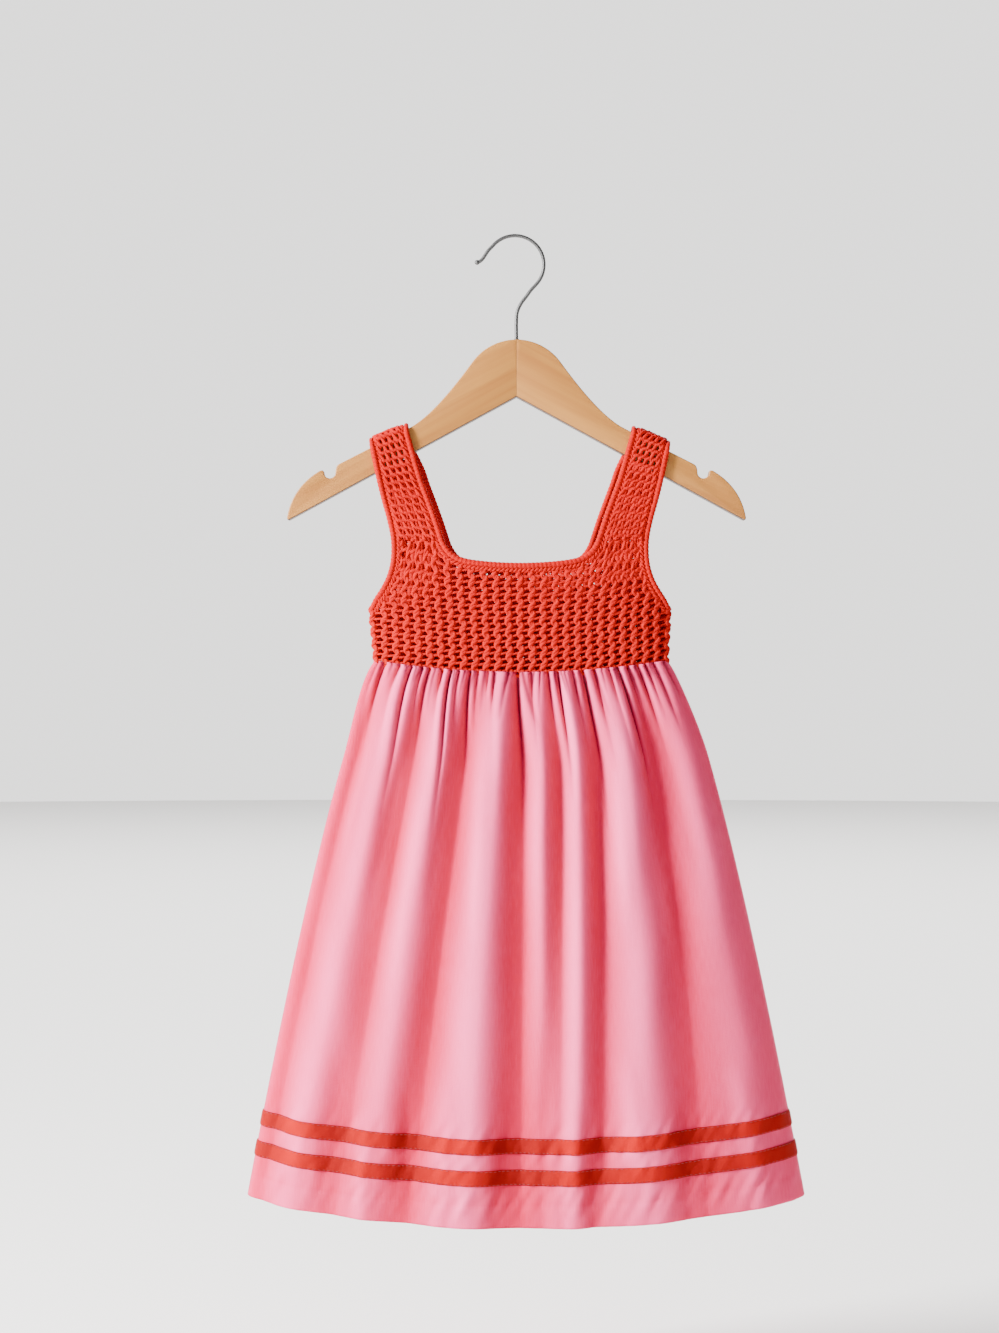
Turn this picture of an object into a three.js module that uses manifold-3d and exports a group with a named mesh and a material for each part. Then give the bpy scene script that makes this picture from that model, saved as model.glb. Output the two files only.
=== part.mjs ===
// A baby's sleeveless dress hanging on a child's wooden hanger.
// Millimetres, +Z up. The front faces -Y. Left and right are the wearer's, so left is +X.
// The origin is the inside of the hook's crest, where a rail or a cord holds the hanger.
// The dress has a crocheted yoke with wide straps, a gathered cotton skirt and two bands above the hem.
import * as THREE from "three";
import { mergeVertices } from "three/addons/utils/BufferGeometryUtils.js";
import Module from "manifold-3d";

// Seams and faces that lie against each other keep this gap.
const seamGap = 0.3;

// The hanger
const hangerX = 1;
const hangerThickness = 12;
const edgeRounding = 1.2;
const crownZ = -67.3;
const crownRadius = 35.5;
const crownAngle = THREE.MathUtils.degToRad(54);
const undersidePeakZ = -104.8;
const undersideSlope = 0.546;
const armStart = { x: 70, z: -125.1 };
const armSlope = 0.514;
const notchX = 122;
const notchRadius = 3.8;
const notchFloorZ = -158;
const tipX = 150;
const tipZ = -185.2;

// The hook
const wireRadius = 1.2;
const hookRadius = 19;
const stemDepthInWood = 24;
const stemSocketRadius = wireRadius + seamGap;

// The crocheted yoke and straps
const yokeX = 3.3;
const crochetThickness = 2.6;
const edgingWidth = 5;
const edgingThickness = 3.2;
// The edging bends between its sections, so the cloth it borders stops a little before it.
const panelInset = edgingWidth + seamGap + 0.7;
const underarmZ = -242.2;
const underarmHalf = 98.2;
const strapBaseZ = -198.3;
const neckHalf = 49.5;
const neckZ = -213.3;
const strapRestY = hangerThickness / 2 + seamGap + crochetThickness / 2;
const strapTop = { x: 72.4, z: -123.3, slope: 0.4 };

// The armhole's edge and the strap's two edges, from the middle of the dress, from the underarm up
const outerEdge = [
  { z: underarmZ, x: underarmHalf },
  { z: -236.6, x: 95.4 },
  { z: -229.6, x: 90.8 },
  { z: -222, x: 87 },
  { z: -212, x: 84.4 },
  { z: strapBaseZ, x: 84.2 },
  { z: -185, x: 86.8 },
  { z: -172, x: 90.4 },
  { z: -159, x: 93.6 },
  { z: -128, x: 100.2 },
];
const innerEdge = [
  { z: strapBaseZ, x: neckHalf },
  { z: -185, x: 53.9 },
  { z: -172, x: 58.6 },
  { z: -159, x: 63.4 },
  { z: -128, x: 72.4 },
];

// The two faces of the garment. The back straps lie a little nearer the middle, and the back neck is lower.
const faces = {
  front: { sign: -1, yokeDepth: 13.5, hemDepth: 44, strapShift: 0, neckDrop: 0 },
  back: { sign: 1, yokeDepth: 12, hemDepth: 36, strapShift: 3.6, neckDrop: 2.5 },
};

// The skirt
const clothThickness = 1.2;
const waistHalf = 96.3;
const waistSideZ = -278.8;
const waistDip = 7.9;
const waistX = 4;
const hemHalf = 182;
const hemSideZ = -626.2;
const hemDip = 15;
const hemX = 7.3;
const skirtLength = 356;
const flare = 0.76;
const roundness = 2.2;
const bandWidth = 10;
const bandHeights = { lower: 27, upper: 47 };
const bandThickness = 1;

// The skirt's long folds, from one side seam to the other, as crests (+) and valleys (-).
// Each row gives the place across the face, -1 to 1, at the waist and at the hem, and the height in mm
// a quarter of the way down and at the hem.
const frontFolds = [
  { atWaist: -0.93, atHem: -0.95, outHigh: -3, outHem: -3 },
  { atWaist: -0.75, atHem: -0.81, outHigh: 4.5, outHem: 5.5 },
  { atWaist: -0.61, atHem: -0.66, outHigh: -4, outHem: -3.5 },
  { atWaist: -0.47, atHem: -0.545, outHigh: 5, outHem: 5 },
  { atWaist: -0.32, atHem: -0.39, outHigh: -5, outHem: -6 },
  { atWaist: -0.145, atHem: -0.18, outHigh: 6, outHem: 8.5 },
  { atWaist: -0.013, atHem: 0.03, outHigh: -5, outHem: -7.5 },
  { atWaist: 0.1, atHem: 0.075, outHigh: 4, outHem: -2.5 },
  { atWaist: 0.206, atHem: 0.12, outHigh: -3.5, outHem: 2 },
  { atWaist: 0.3, atHem: 0.175, outHigh: 5, outHem: 6 },
  { atWaist: 0.42, atHem: 0.31, outHigh: -5, outHem: -5 },
  { atWaist: 0.57, atHem: 0.5, outHigh: 6, outHem: 7.5 },
  { atWaist: 0.73, atHem: 0.725, outHigh: -5.5, outHem: -5.5 },
  { atWaist: 0.885, atHem: 0.9, outHigh: 3, outHem: 4 },
];

// The gathers at the front waist, one row for each valley: its place across the face, its depth in mm
// and how far down it runs.
const frontGathers = [
  { at: -0.93, deep: 1.3, long: 90 },
  { at: -0.86, deep: 1.1, long: 30 },
  { at: -0.79, deep: 1.4, long: 55 },
  { at: -0.71, deep: 1.6, long: 110 },
  { at: -0.645, deep: 1.5, long: 50 },
  { at: -0.59, deep: 1.2, long: 28 },
  { at: -0.52, deep: 1.5, long: 60 },
  { at: -0.455, deep: 1.8, long: 120 },
  { at: -0.4, deep: 1.2, long: 26 },
  { at: -0.335, deep: 1.7, long: 95 },
  { at: -0.275, deep: 1.3, long: 34 },
  { at: -0.215, deep: 1.2, long: 30 },
  { at: -0.15, deep: 1, long: 24 },
  { at: -0.05, deep: 1.9, long: 130 },
  { at: 0.03, deep: 1.1, long: 32 },
  { at: 0.1, deep: 1.4, long: 60 },
  { at: 0.16, deep: 1.3, long: 30 },
  { at: 0.215, deep: 1.7, long: 115 },
  { at: 0.29, deep: 1.4, long: 34 },
  { at: 0.345, deep: 1.2, long: 28 },
  { at: 0.4, deep: 1.9, long: 120 },
  { at: 0.465, deep: 1.3, long: 52 },
  { at: 0.53, deep: 1.5, long: 36 },
  { at: 0.59, deep: 1.3, long: 60 },
  { at: 0.66, deep: 1.9, long: 125 },
  { at: 0.725, deep: 1.2, long: 28 },
  { at: 0.79, deep: 1.4, long: 66 },
  { at: 0.86, deep: 1.3, long: 34 },
  { at: 0.93, deep: 1.2, long: 80 },
];

// The back isn't seen: its folds and gathers are the front's, turned round and a little shallower.
const turnedRound = (rows, places, heights, share) =>
  rows
    .map((row) => ({
      ...row,
      ...Object.fromEntries(places.map((key) => [key, -row[key]])),
      ...Object.fromEntries(heights.map((key) => [key, row[key] * share])),
    }))
    .reverse();
const backShare = 0.85;
faces.front.folds = frontFolds;
faces.front.gathers = frontGathers;
faces.back.folds = turnedRound(frontFolds, ["atWaist", "atHem"], ["outHigh", "outHem"], backShare);
faces.back.gathers = turnedRound(frontGathers, ["at"], ["deep"], backShare);

const colours = {
  crochet: { color: 0xe8361f, roughness: 0.85 },
  skirt: { color: 0xf88aa4, roughness: 0.6 },
  band: { color: 0xe0341c, roughness: 0.6 },
  wood: { color: 0xd8a26a, roughness: 0.5 },
  steel: { color: 0x9a9a98, roughness: 0.3, metalness: 1 },
};

const { clamp, lerp, smoothstep } = THREE.MathUtils;
const vector = (x, y, z) => new THREE.Vector3(x, y, z);

// The x of an edge at a height, by a smooth curve through its table.
function edgeAt(rows, z) {
  const last = rows.length - 1;
  let i = rows.findIndex((row, k) => k < last && z <= rows[k + 1].z);
  if (i < 0) i = last - 1;
  const slope = (k) => {
    const before = rows[Math.max(k - 1, 0)];
    const after = rows[Math.min(k + 1, last)];
    return (after.x - before.x) / (after.z - before.z);
  };
  const span = rows[i + 1].z - rows[i].z;
  const t = clamp((z - rows[i].z) / span, -0.5, 1.5);
  const h = (1 + 2 * t) * (1 - t) ** 2 * rows[i].x + t * (1 - t) ** 2 * span * slope(i);
  return h + t ** 2 * (3 - 2 * t) * rows[i + 1].x + t ** 2 * (t - 1) * span * slope(i + 1);
}

// A value that runs smoothly from crest to valley between rows of [place, height].
function between(knots, place) {
  let i = 0;
  while (i < knots.length - 2 && place > knots[i + 1][0]) i += 1;
  const t = smoothstep(place, knots[i][0], knots[i + 1][0]);
  return lerp(knots[i][1], knots[i + 1][1], t);
}

const waistZ = (across) => waistSideZ - waistDip * (1 - across ** 2);
const hemZ = (across) => hemSideZ - hemDip * (1 - across ** 2);

// How far the long folds stand out at a place across a face, with down from 0 at the waist to 1 at the hem.
function foldRelief(face, across, down) {
  const strength = smoothstep(down, 0, 0.22);
  const lower = clamp((down - 0.25) / 0.75, 0, 1);
  const knots = face.folds.map((f) => [lerp(f.atWaist, f.atHem, down), lerp(f.outHigh, f.outHem, lower)]);
  return strength * between([[-1, 0], ...knots, [1, 0]], across);
}

// The places of the gathers' valleys and of the crests between them, with how deep and how long each is.
function gatherLines(face) {
  const rows = face.gathers;
  const edge = { at: -1, deep: 0, long: 1 };
  const lines = [edge];
  rows.forEach((row, i) => {
    const before = i ? rows[i - 1] : edge;
    const middle = (key) => (before[key] + row[key]) / 2;
    lines.push({ at: middle("at"), deep: -middle("deep"), long: middle("long") });
    lines.push(row);
  });
  const last = rows[rows.length - 1];
  lines.push({ at: (last.at + 1) / 2, deep: -last.deep / 2, long: last.long / 2 });
  lines.push({ at: 1, deep: 0, long: 1 });
  return lines;
}

// A point of the skirt's middle surface, and the way out of the cloth there in plan.
function skirtPoint(face, across, down, gatherOut) {
  const half = lerp(waistHalf, hemHalf, down ** flare);
  const deep = lerp(face.yokeDepth, face.hemDepth, down ** 0.85);
  const middle = lerp(waistX, hemX, smoothstep(down, 0, 0.18));
  const round = Math.sqrt(Math.max(0, 1 - Math.abs(across) ** roundness));
  const out = vector(
    (roundness * Math.sign(across) * Math.abs(across) ** (roundness - 1)) / half,
    (face.sign * 2 * round) / deep,
    0,
  ).normalize();
  const fade = smoothstep(1 - Math.abs(across), 0, 0.08);
  const z = lerp(waistZ(across), hemZ(across), down);
  return vector(middle + half * across, face.sign * deep * round, z).addScaledVector(
    out,
    fade * (foldRelief(face, across, down) + gatherOut),
  );
}

// A closed wall round a grid of middle points. fixNormal may change the way out at a point, as at a seam.
function wall(grid, thickness, faceSign, fixNormal = () => {}) {
  const rows = grid.length;
  const columns = grid[0].length;
  const outer = [];
  const inner = [];
  for (let i = 0; i < rows; i += 1) {
    for (let j = 0; j < columns; j += 1) {
      const across = grid[i][Math.min(j + 1, columns - 1)].clone().sub(grid[i][Math.max(j - 1, 0)]);
      const along = grid[Math.min(i + 1, rows - 1)][j].clone().sub(grid[Math.max(i - 1, 0)][j]);
      const normal = across.cross(along).normalize().multiplyScalar(faceSign);
      fixNormal(normal, i, j);
      outer.push(grid[i][j].clone().addScaledVector(normal, thickness / 2));
      inner.push(grid[i][j].clone().addScaledVector(normal, -thickness / 2));
    }
  }
  const points = [...outer, ...inner];
  const at = (i, j) => i * columns + j;
  const inside = (i, j) => outer.length + at(i, j);
  const triangles = [];
  const quad = (a, b, c, d) => triangles.push([a, b, c], [a, c, d]);
  for (let i = 0; i < rows - 1; i += 1) {
    for (let j = 0; j < columns - 1; j += 1) {
      quad(at(i, j), at(i, j + 1), at(i + 1, j + 1), at(i + 1, j));
      quad(inside(i, j), inside(i + 1, j), inside(i + 1, j + 1), inside(i, j + 1));
    }
  }
  for (let j = 0; j < columns - 1; j += 1) {
    quad(at(0, j + 1), at(0, j), inside(0, j), inside(0, j + 1));
    quad(at(rows - 1, j), at(rows - 1, j + 1), inside(rows - 1, j + 1), inside(rows - 1, j));
  }
  for (let i = 0; i < rows - 1; i += 1) {
    quad(at(i, 0), at(i + 1, 0), inside(i + 1, 0), inside(i, 0));
    quad(at(i + 1, columns - 1), at(i, columns - 1), inside(i, columns - 1), inside(i + 1, columns - 1));
  }
  return meshOf(points, triangles, faceSign < 0);
}

// A mesh of points and triangles. turned swaps the side that the triangles face.
function meshOf(points, triangles, turned) {
  const geometry = new THREE.BufferGeometry();
  const numbers = points.flatMap((p) => [p.x, p.y, p.z]);
  geometry.setAttribute("position", new THREE.Float32BufferAttribute(numbers, 3));
  geometry.setIndex(triangles.flatMap(([a, b, c]) => (turned ? [a, c, b] : [a, b, c])));
  return geometry;
}

const material = ({ color, roughness, metalness = 0 }) =>
  new THREE.MeshStandardMaterial({ color, roughness, metalness });

function piece(name, geometry, finish) {
  const mesh = new THREE.Mesh(geometry, material(finish));
  mesh.name = name;
  return mesh;
}

// The skirt

// Rows of the panel, as distances down from the waist. The bands' edges are rows, so a band follows
// its panel.
const bandRows = (height) => [skirtLength - height - bandWidth, skirtLength - height];
const panelRows = [0, 8, 19, 36, 62, 104, 162, 230, ...bandRows(bandHeights.upper),
  ...bandRows(bandHeights.lower), skirtLength];

function skirtGrid(face, distances) {
  const lines = gatherLines(face);
  return distances.map((distance) => {
    const down = distance / skirtLength;
    return lines.map((line) => {
      const point = skirtPoint(face, line.at, down, -line.deep * (1 - smoothstep(distance, 0, line.long)));
      if (distance === 0) point.z -= seamGap / 2;
      if (Math.abs(line.at) === 1) point.y = (face.sign * seamGap) / 2;
      return point;
    });
  });
}

// At a side seam the wall's end is square to the seam, and at the waist it is upright.
const seamNormal = (columns) => (normal, i, j) => {
  if (j === 0) normal.set(-1, 0, 0);
  if (j === columns - 1) normal.set(1, 0, 0);
  if (i === 0) normal.setZ(0).normalize();
};

function skirtPanel(face) {
  const grid = skirtGrid(face, panelRows);
  return wall(grid, clothThickness, face.sign, seamNormal(grid[0].length));
}

// A band is the panel's own points between two rows, moved out past its surface.
function hemBand(face, height) {
  const [top, bottom] = bandRows(height);
  const all = skirtGrid(face, panelRows);
  const moved = clothThickness / 2 + seamGap + bandThickness / 2;
  const fix = seamNormal(all[0].length);
  const rows = [top, bottom].map((distance) => {
    const i = panelRows.indexOf(distance);
    return all[i].map((point, j) => {
      const across = all[i][Math.min(j + 1, all[i].length - 1)].clone().sub(all[i][Math.max(j - 1, 0)]);
      const along = all[i + 1][j].clone().sub(all[i - 1][j]);
      const normal = across.cross(along).normalize().multiplyScalar(face.sign);
      fix(normal, i, j);
      return point.clone().addScaledVector(normal, moved);
    });
  });
  return wall(rows, bandThickness, face.sign, fix);
}

// The yoke

const shiftAt = (face, z) => face.strapShift * smoothstep(-z, 132, 156);
const outerAt = (face, z) => edgeAt(outerEdge, z) - shiftAt(face, z) * smoothstep(z, underarmZ, -205);
const innerAt = (face, z) => edgeAt(innerEdge, z) - shiftAt(face, z);
const neckAt = (face, share) => neckZ - face.neckDrop + 5 * share ** 2 + (10 + face.neckDrop) * share ** 10;

// How far the yoke and straps stand from the middle plane.
function bodyDepth(face, x, z) {
  const half = lerp(waistHalf, underarmHalf, smoothstep(z, waistSideZ, underarmZ));
  const across = Math.min(Math.abs(x) / half, 1);
  const tube = face.yokeDepth * Math.sqrt(Math.max(0, 1 - across ** 2.4));
  return lerp(tube, strapRestY, smoothstep(z, -205, -160));
}

const middleAt = (z) => lerp(waistX, yokeX, smoothstep(z, waistSideZ, underarmZ));
const onBody = (face, x, z, out = 0) => vector(middleAt(z) + x, face.sign * (bodyDepth(face, x, z) + out), z);

// Points of an edge line in the front view, moved into the cloth by inset.
function insetLine(points, inset) {
  return points.map((p, i) => {
    const before = points[Math.max(i - 1, 0)];
    const after = points[Math.min(i + 1, points.length - 1)];
    const run = new THREE.Vector2(after.x - before.x, after.z - before.z).normalize();
    return { x: p.x - run.y * inset, z: p.z + run.x * inset };
  });
}

const steps = (count) => Array.from({ length: count + 1 }, (_, i) => i / count);

// The armhole's edge from the underarm to the strap base, in the half with x above 0.
const armholeLine = (face) =>
  steps(9).map((t) => {
    const z = lerp(underarmZ, strapBaseZ, t);
    return { x: outerAt(face, z), z };
  });

// The neck's edge from the middle of the neck to the strap base.
const neckLine = (face, count = 12) =>
  steps(count).map((t) => {
    const share = Math.sin((t * Math.PI) / 2);
    return { x: share * innerAt(face, strapBaseZ), z: neckAt(face, share) };
  });

// The value of a line of points under one key where another key has a given value.
const lineAt = (points, key, of, value) => {
  let i = 0;
  while (i < points.length - 2 && value > points[i + 1][key]) i += 1;
  const share = (value - points[i][key]) / (points[i + 1][key] - points[i][key]);
  return lerp(points[i][of], points[i + 1][of], clamp(share, 0, 1));
};

// The crocheted panel between the side seams, inside the edgings.
function yokePanel(face) {
  const side = [
    { x: waistHalf, z: waistSideZ },
    { x: underarmHalf, z: underarmZ - panelInset - 2 },
    ...insetLine(armholeLine(face), panelInset + 0.5).filter((p) => p.z > underarmZ - panelInset),
  ];
  const neck = insetLine(neckLine(face), -panelInset);
  const neckOuterX = innerAt(face, strapBaseZ) + panelInset;
  const topHalf = side[side.length - 1].x;
  const shoulderZ = strapBaseZ - seamGap / 2;
  const topZ = (x) => (x < neckOuterX ? Math.min(lineAt(neck, "x", "z", x), shoulderZ) : shoulderZ);
  const columns = [...steps(9).map((t) => t * (neckOuterX / topHalf)), 0.76, 0.84, 0.92, 1];
  const acrossAll = [...columns.slice(1).reverse().map((a) => -a), ...columns];
  const heights = [waistSideZ, -268, -257, side[1].z, -240, -230, -218, -208, side[side.length - 1].z];
  const grid = heights.map((height) => {
    const up = (height - heights[0]) / (heights[heights.length - 1] - heights[0]);
    const half = lineAt(side, "z", "x", height);
    return acrossAll.map((across) => {
      const low = waistZ(across) + seamGap / 2;
      const x = half * across;
      const z = lerp(low, topZ(topHalf * Math.abs(across)), up);
      const point = onBody(face, x, z);
      if (height <= side[1].z && Math.abs(across) === 1) point.y = (face.sign * seamGap) / 2;
      return point;
    });
  });
  const last = acrossAll.length - 1;
  return wall(grid, crochetThickness, -face.sign, (normal, i, j) => {
    if (heights[i] <= side[1].z && j === 0) normal.set(-1, 0, 0);
    if (heights[i] <= side[1].z && j === last) normal.set(1, 0, 0);
    if (i === 0 || i === heights.length - 1) normal.setZ(0).normalize();
  });
}

// A line that runs up the front strap, over the hanger and down the back strap. side is 1 on the left
// and -1 on the right, and pick gives the line's x at a height on a face.
function overHanger(side, pick, fromZ, extraOut = 0) {
  const crestX = pick(faces.front, -128);
  const alongArm = Math.abs(crestX + (yokeX - hangerX) * side);
  const turn = strapRestY + extraOut;
  const startArcZ = strapTop.z - strapTop.slope * (alongArm - strapTop.x) + extraOut - turn;
  const up = (face) =>
    steps(7).map((t) => {
      const z = lerp(fromZ, startArcZ, t);
      return { point: onBody(face, side * pick(face, z), z, extraOut), normal: vector(0, face.sign, 0) };
    });
  const arc = [20, 42, 60, 75, 90, 105, 120, 138, 160].map((degrees) => {
    const angle = THREE.MathUtils.degToRad(degrees);
    const squareness = 0.5;
    const y = -Math.sign(Math.cos(angle)) * Math.abs(Math.cos(angle)) ** squareness * turn;
    const rise = Math.sin(angle) ** squareness * turn;
    const crest = startArcZ + rise;
    return {
      point: vector(yokeX + side * pick(faces.front, Math.min(crest, -128)), y, crest),
      normal: vector(0, -Math.cos(angle), Math.sin(angle)),
    };
  });
  return [...up(faces.front), ...arc, ...up(faces.back).reverse()];
}

// The strap between its two edgings, from the front yoke over the hanger to the back yoke.
function strap(side) {
  const columns = steps(4);
  const lines = columns.map((t) =>
    overHanger(
      side,
      (face, z) => lerp(innerAt(face, z) + panelInset, outerAt(face, z) - panelInset, t),
      strapBaseZ + seamGap / 2,
    ),
  );
  const grid = lines[0].map((_, i) => lines.map((line) => line[i].point));
  return wall(grid, crochetThickness, side);
}

// A flat band swept round a closed line of points with normals.
function edging(line) {
  const count = line.length;
  const section = steps(6)
    .slice(0, 6)
    .map((t) => [Math.cos(t * 2 * Math.PI), Math.sin(t * 2 * Math.PI)]);
  const points = [];
  line.forEach(({ point, normal }, i) => {
    const run = line[(i + 1) % count].point.clone().sub(line[(i + count - 1) % count].point).normalize();
    const out = normal.clone().addScaledVector(run, -normal.dot(run)).normalize();
    const across = run.clone().cross(out);
    for (const [c, s] of section) {
      const flat = Math.sign(c) * Math.min(1, Math.abs(c) * 1.25);
      points.push(
        point
          .clone()
          .addScaledVector(across, (flat * edgingWidth) / 2)
          .addScaledVector(out, (s * edgingThickness) / 2 / Math.sin(Math.PI / 3)),
      );
    }
  });
  const triangles = [];
  for (let i = 0; i < count; i += 1) {
    for (let k = 0; k < 6; k += 1) {
      const a = i * 6 + k;
      const b = i * 6 + ((k + 1) % 6);
      const c = ((i + 1) % count) * 6 + ((k + 1) % 6);
      const d = ((i + 1) % count) * 6 + k;
      triangles.push([a, d, c], [a, c, b]);
    }
  }
  return meshOf(points, triangles, false);
}

// The way out of the yoke at a point of the front view.
function bodyNormal(face, x, z) {
  const step = 0.5;
  const slope = (bodyDepth(face, x + step, z) - bodyDepth(face, x - step, z)) / (2 * step);
  return vector(-slope, face.sign, 0).normalize();
}

const edgingOut = (edgingThickness - crochetThickness) / 2 + 0.05;

function armholeEdging(side) {
  const inset = edgingWidth / 2;
  const over = overHanger(side, (face, z) => outerAt(face, z) - inset, strapBaseZ, edgingOut);
  const curve = (face) =>
    insetLine(armholeLine(face), inset)
      .slice(0, -1)
      .map(({ x, z }) => {
        const normal = bodyNormal(face, side * x, z);
        return { point: onBody(face, side * x, z).addScaledVector(normal, edgingOut), normal };
      });
  const underarm = {
    point: vector(yokeX + side * (underarmHalf - 0.2), 0, underarmZ - inset + 0.7),
    normal: vector(side, 0, 0),
  };
  const loop = [...curve(faces.front), ...over, ...curve(faces.back).reverse(), underarm];
  return edging(side > 0 ? loop : loop.reverse());
}

function neckEdging() {
  const inset = edgingWidth / 2;
  const half = (face, side) =>
    insetLine(neckLine(face, 9), -inset)
      .slice(0, -1)
      .map(({ x, z }) => ({
        point: onBody(face, side * x, z, edgingOut),
        normal: vector(0, face.sign, 0),
      }));
  const over = (side) => overHanger(side, (face, z) => innerAt(face, z) + inset, strapBaseZ, edgingOut);
  const loop = [
    ...half(faces.front, 1),
    ...over(1),
    ...half(faces.back, 1).reverse(),
    ...half(faces.back, -1).slice(1),
    ...over(-1).reverse(),
    ...half(faces.front, -1).reverse().slice(0, -1),
  ];
  return edging(loop);
}

// The hanger
const wasm = await Module();
wasm.setup();

function solidOf(geometry) {
  const bare = geometry.clone();
  bare.deleteAttribute("normal");
  bare.deleteAttribute("uv");
  const merged = mergeVertices(bare, 1e-3);
  return new wasm.Manifold(
    new wasm.Mesh({
      numProp: 3,
      vertProperties: new Float32Array(merged.attributes.position.array),
      triVerts: new Uint32Array(merged.index.array),
    }),
  );
}

function geometryOf(solid) {
  const { vertProperties, triVerts } = solid.getMesh();
  const geometry = new THREE.BufferGeometry();
  geometry.setAttribute("position", new THREE.BufferAttribute(vertProperties, 3));
  geometry.setIndex(new THREE.BufferAttribute(triVerts, 1));
  return geometry;
}

// One half of the wooden body, drawn from the middle joint out to the tip and back along the underside.
function hangerOutline() {
  const pastJoint = 4;
  const crownEnd = {
    x: crownRadius * Math.sin(crownAngle),
    z: crownZ - crownRadius * (1 - Math.cos(crownAngle)),
  };
  const armAt = (x) => armStart.z - armSlope * (x - armStart.x);
  const toBend = (crownEnd.z - armAt(crownEnd.x)) / (Math.tan(crownAngle) - armSlope);
  const bend = { x: crownEnd.x + toBend, z: crownEnd.z - toBend * Math.tan(crownAngle) };
  const undersideAt = (x) => undersidePeakZ - undersideSlope * x;
  const shape = new THREE.Shape();
  shape.moveTo(-pastJoint, undersideAt(0));
  shape.lineTo(0, undersideAt(0));
  shape.lineTo(tipX - 2.5, tipZ);
  shape.lineTo(tipX, tipZ + 3);
  shape.quadraticCurveTo(tipX - 3.5, armAt(tipX) + 2.5, notchX + notchRadius + 2.5, notchFloorZ + 5);
  shape.lineTo(notchX + notchRadius, notchFloorZ + 5.8);
  shape.lineTo(notchX + notchRadius, notchFloorZ + notchRadius);
  shape.absarc(notchX, notchFloorZ + notchRadius, notchRadius, 0, Math.PI, true);
  shape.lineTo(notchX - notchRadius, armAt(notchX - notchRadius));
  shape.lineTo(armStart.x, armStart.z);
  shape.quadraticCurveTo(bend.x, bend.z, crownEnd.x, crownEnd.z);
  shape.absarc(0, crownZ - crownRadius, crownRadius, Math.PI / 2 - crownAngle, Math.PI / 2, false);
  shape.lineTo(-pastJoint, crownZ);
  const shortest = 0.05;
  const apart = (p, i, all) => i === 0 || p.distanceTo(all[i - 1]) > shortest;
  return new THREE.Shape(shape.getPoints(9).filter(apart));
}

function hangerHalf(side) {
  const body = new THREE.ExtrudeGeometry(hangerOutline(), {
    depth: hangerThickness - 2 * edgeRounding,
    bevelThickness: edgeRounding,
    bevelSize: edgeRounding,
    bevelOffset: -edgeRounding,
    bevelSegments: 2,
    curveSegments: 9,
  });
  body.translate(0, 0, edgeRounding - hangerThickness / 2);
  body.rotateX(Math.PI / 2);
  if (side < 0) body.rotateZ(Math.PI);
  const keep = new THREE.BoxGeometry(200, 40, 300);
  keep.translate(side * (100 + seamGap / 2), 0, -150);
  const socket = new THREE.CylinderGeometry(stemSocketRadius, stemSocketRadius, 40, 12);
  socket.rotateX(Math.PI / 2);
  socket.translate(0, 0, crownZ - stemDepthInWood + 20);
  const cut = solidOf(body).intersect(solidOf(keep)).subtract(solidOf(socket));
  return geometryOf(cut).translate(hangerX, 0, 0);
}

// The hook's wire: an open tip that flares out, a round crest, and a bend into the straight stem.
function hook() {
  const centreZ = wireRadius - hookRadius;
  const flare = [
    { x: -25.1, z: -16.4 },
    { x: -21.6, z: -13.4 },
    { x: -18.3, z: -9.6 },
  ];
  const crest = steps(12).map((t) => {
    const angle = THREE.MathUtils.degToRad(lerp(140, -42, t));
    return { x: hookRadius * Math.cos(angle), z: centreZ + hookRadius * Math.sin(angle) };
  });
  const bend = [
    { x: 7.2, z: -39.6 },
    { x: 2.6, z: -45.5 },
  ];
  const stem = [-52, -60, crownZ, crownZ - stemDepthInWood + 1].map((z) => ({ x: hangerX, z }));
  const curve = new THREE.CatmullRomCurve3(
    [...flare, ...crest, ...bend, ...stem].map(({ x, z }) => vector(x, 0, z)),
    false,
    "centripetal",
  );
  const section = new THREE.Shape();
  section.absarc(0, 0, wireRadius, 0, 2 * Math.PI, false);
  return new THREE.ExtrudeGeometry(section, {
    steps: 36,
    curveSegments: 5,
    bevelEnabled: false,
    extrudePath: curve,
  });
}

const dressOnHanger = new THREE.Group();
const hangerGroup = new THREE.Group();
hangerGroup.add(
  piece("hanger_left", hangerHalf(1), colours.wood),
  piece("hanger_right", hangerHalf(-1), colours.wood),
  piece("hook", hook(), colours.steel),
);
const yokeGroup = new THREE.Group();
const skirtGroup = new THREE.Group();
for (const [name, face] of Object.entries(faces)) {
  yokeGroup.add(piece(`yoke_${name}`, yokePanel(face), colours.crochet));
  skirtGroup.add(piece(`skirt_${name}`, skirtPanel(face), colours.skirt));
  for (const [level, height] of Object.entries(bandHeights))
    skirtGroup.add(piece(`band_${level}_${name}`, hemBand(face, height), colours.band));
}
for (const [name, side] of [["left", 1], ["right", -1]]) {
  yokeGroup.add(piece(`strap_${name}`, strap(side), colours.crochet));
  yokeGroup.add(piece(`armhole_edging_${name}`, armholeEdging(side), colours.crochet));
}
yokeGroup.add(piece("neck_edging", neckEdging(), colours.crochet));
dressOnHanger.add(hangerGroup, yokeGroup, skirtGroup);

export default dressOnHanger;
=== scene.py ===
import math
import random

import bmesh
import bpy
from mathutils import Matrix, Vector, noise


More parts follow.
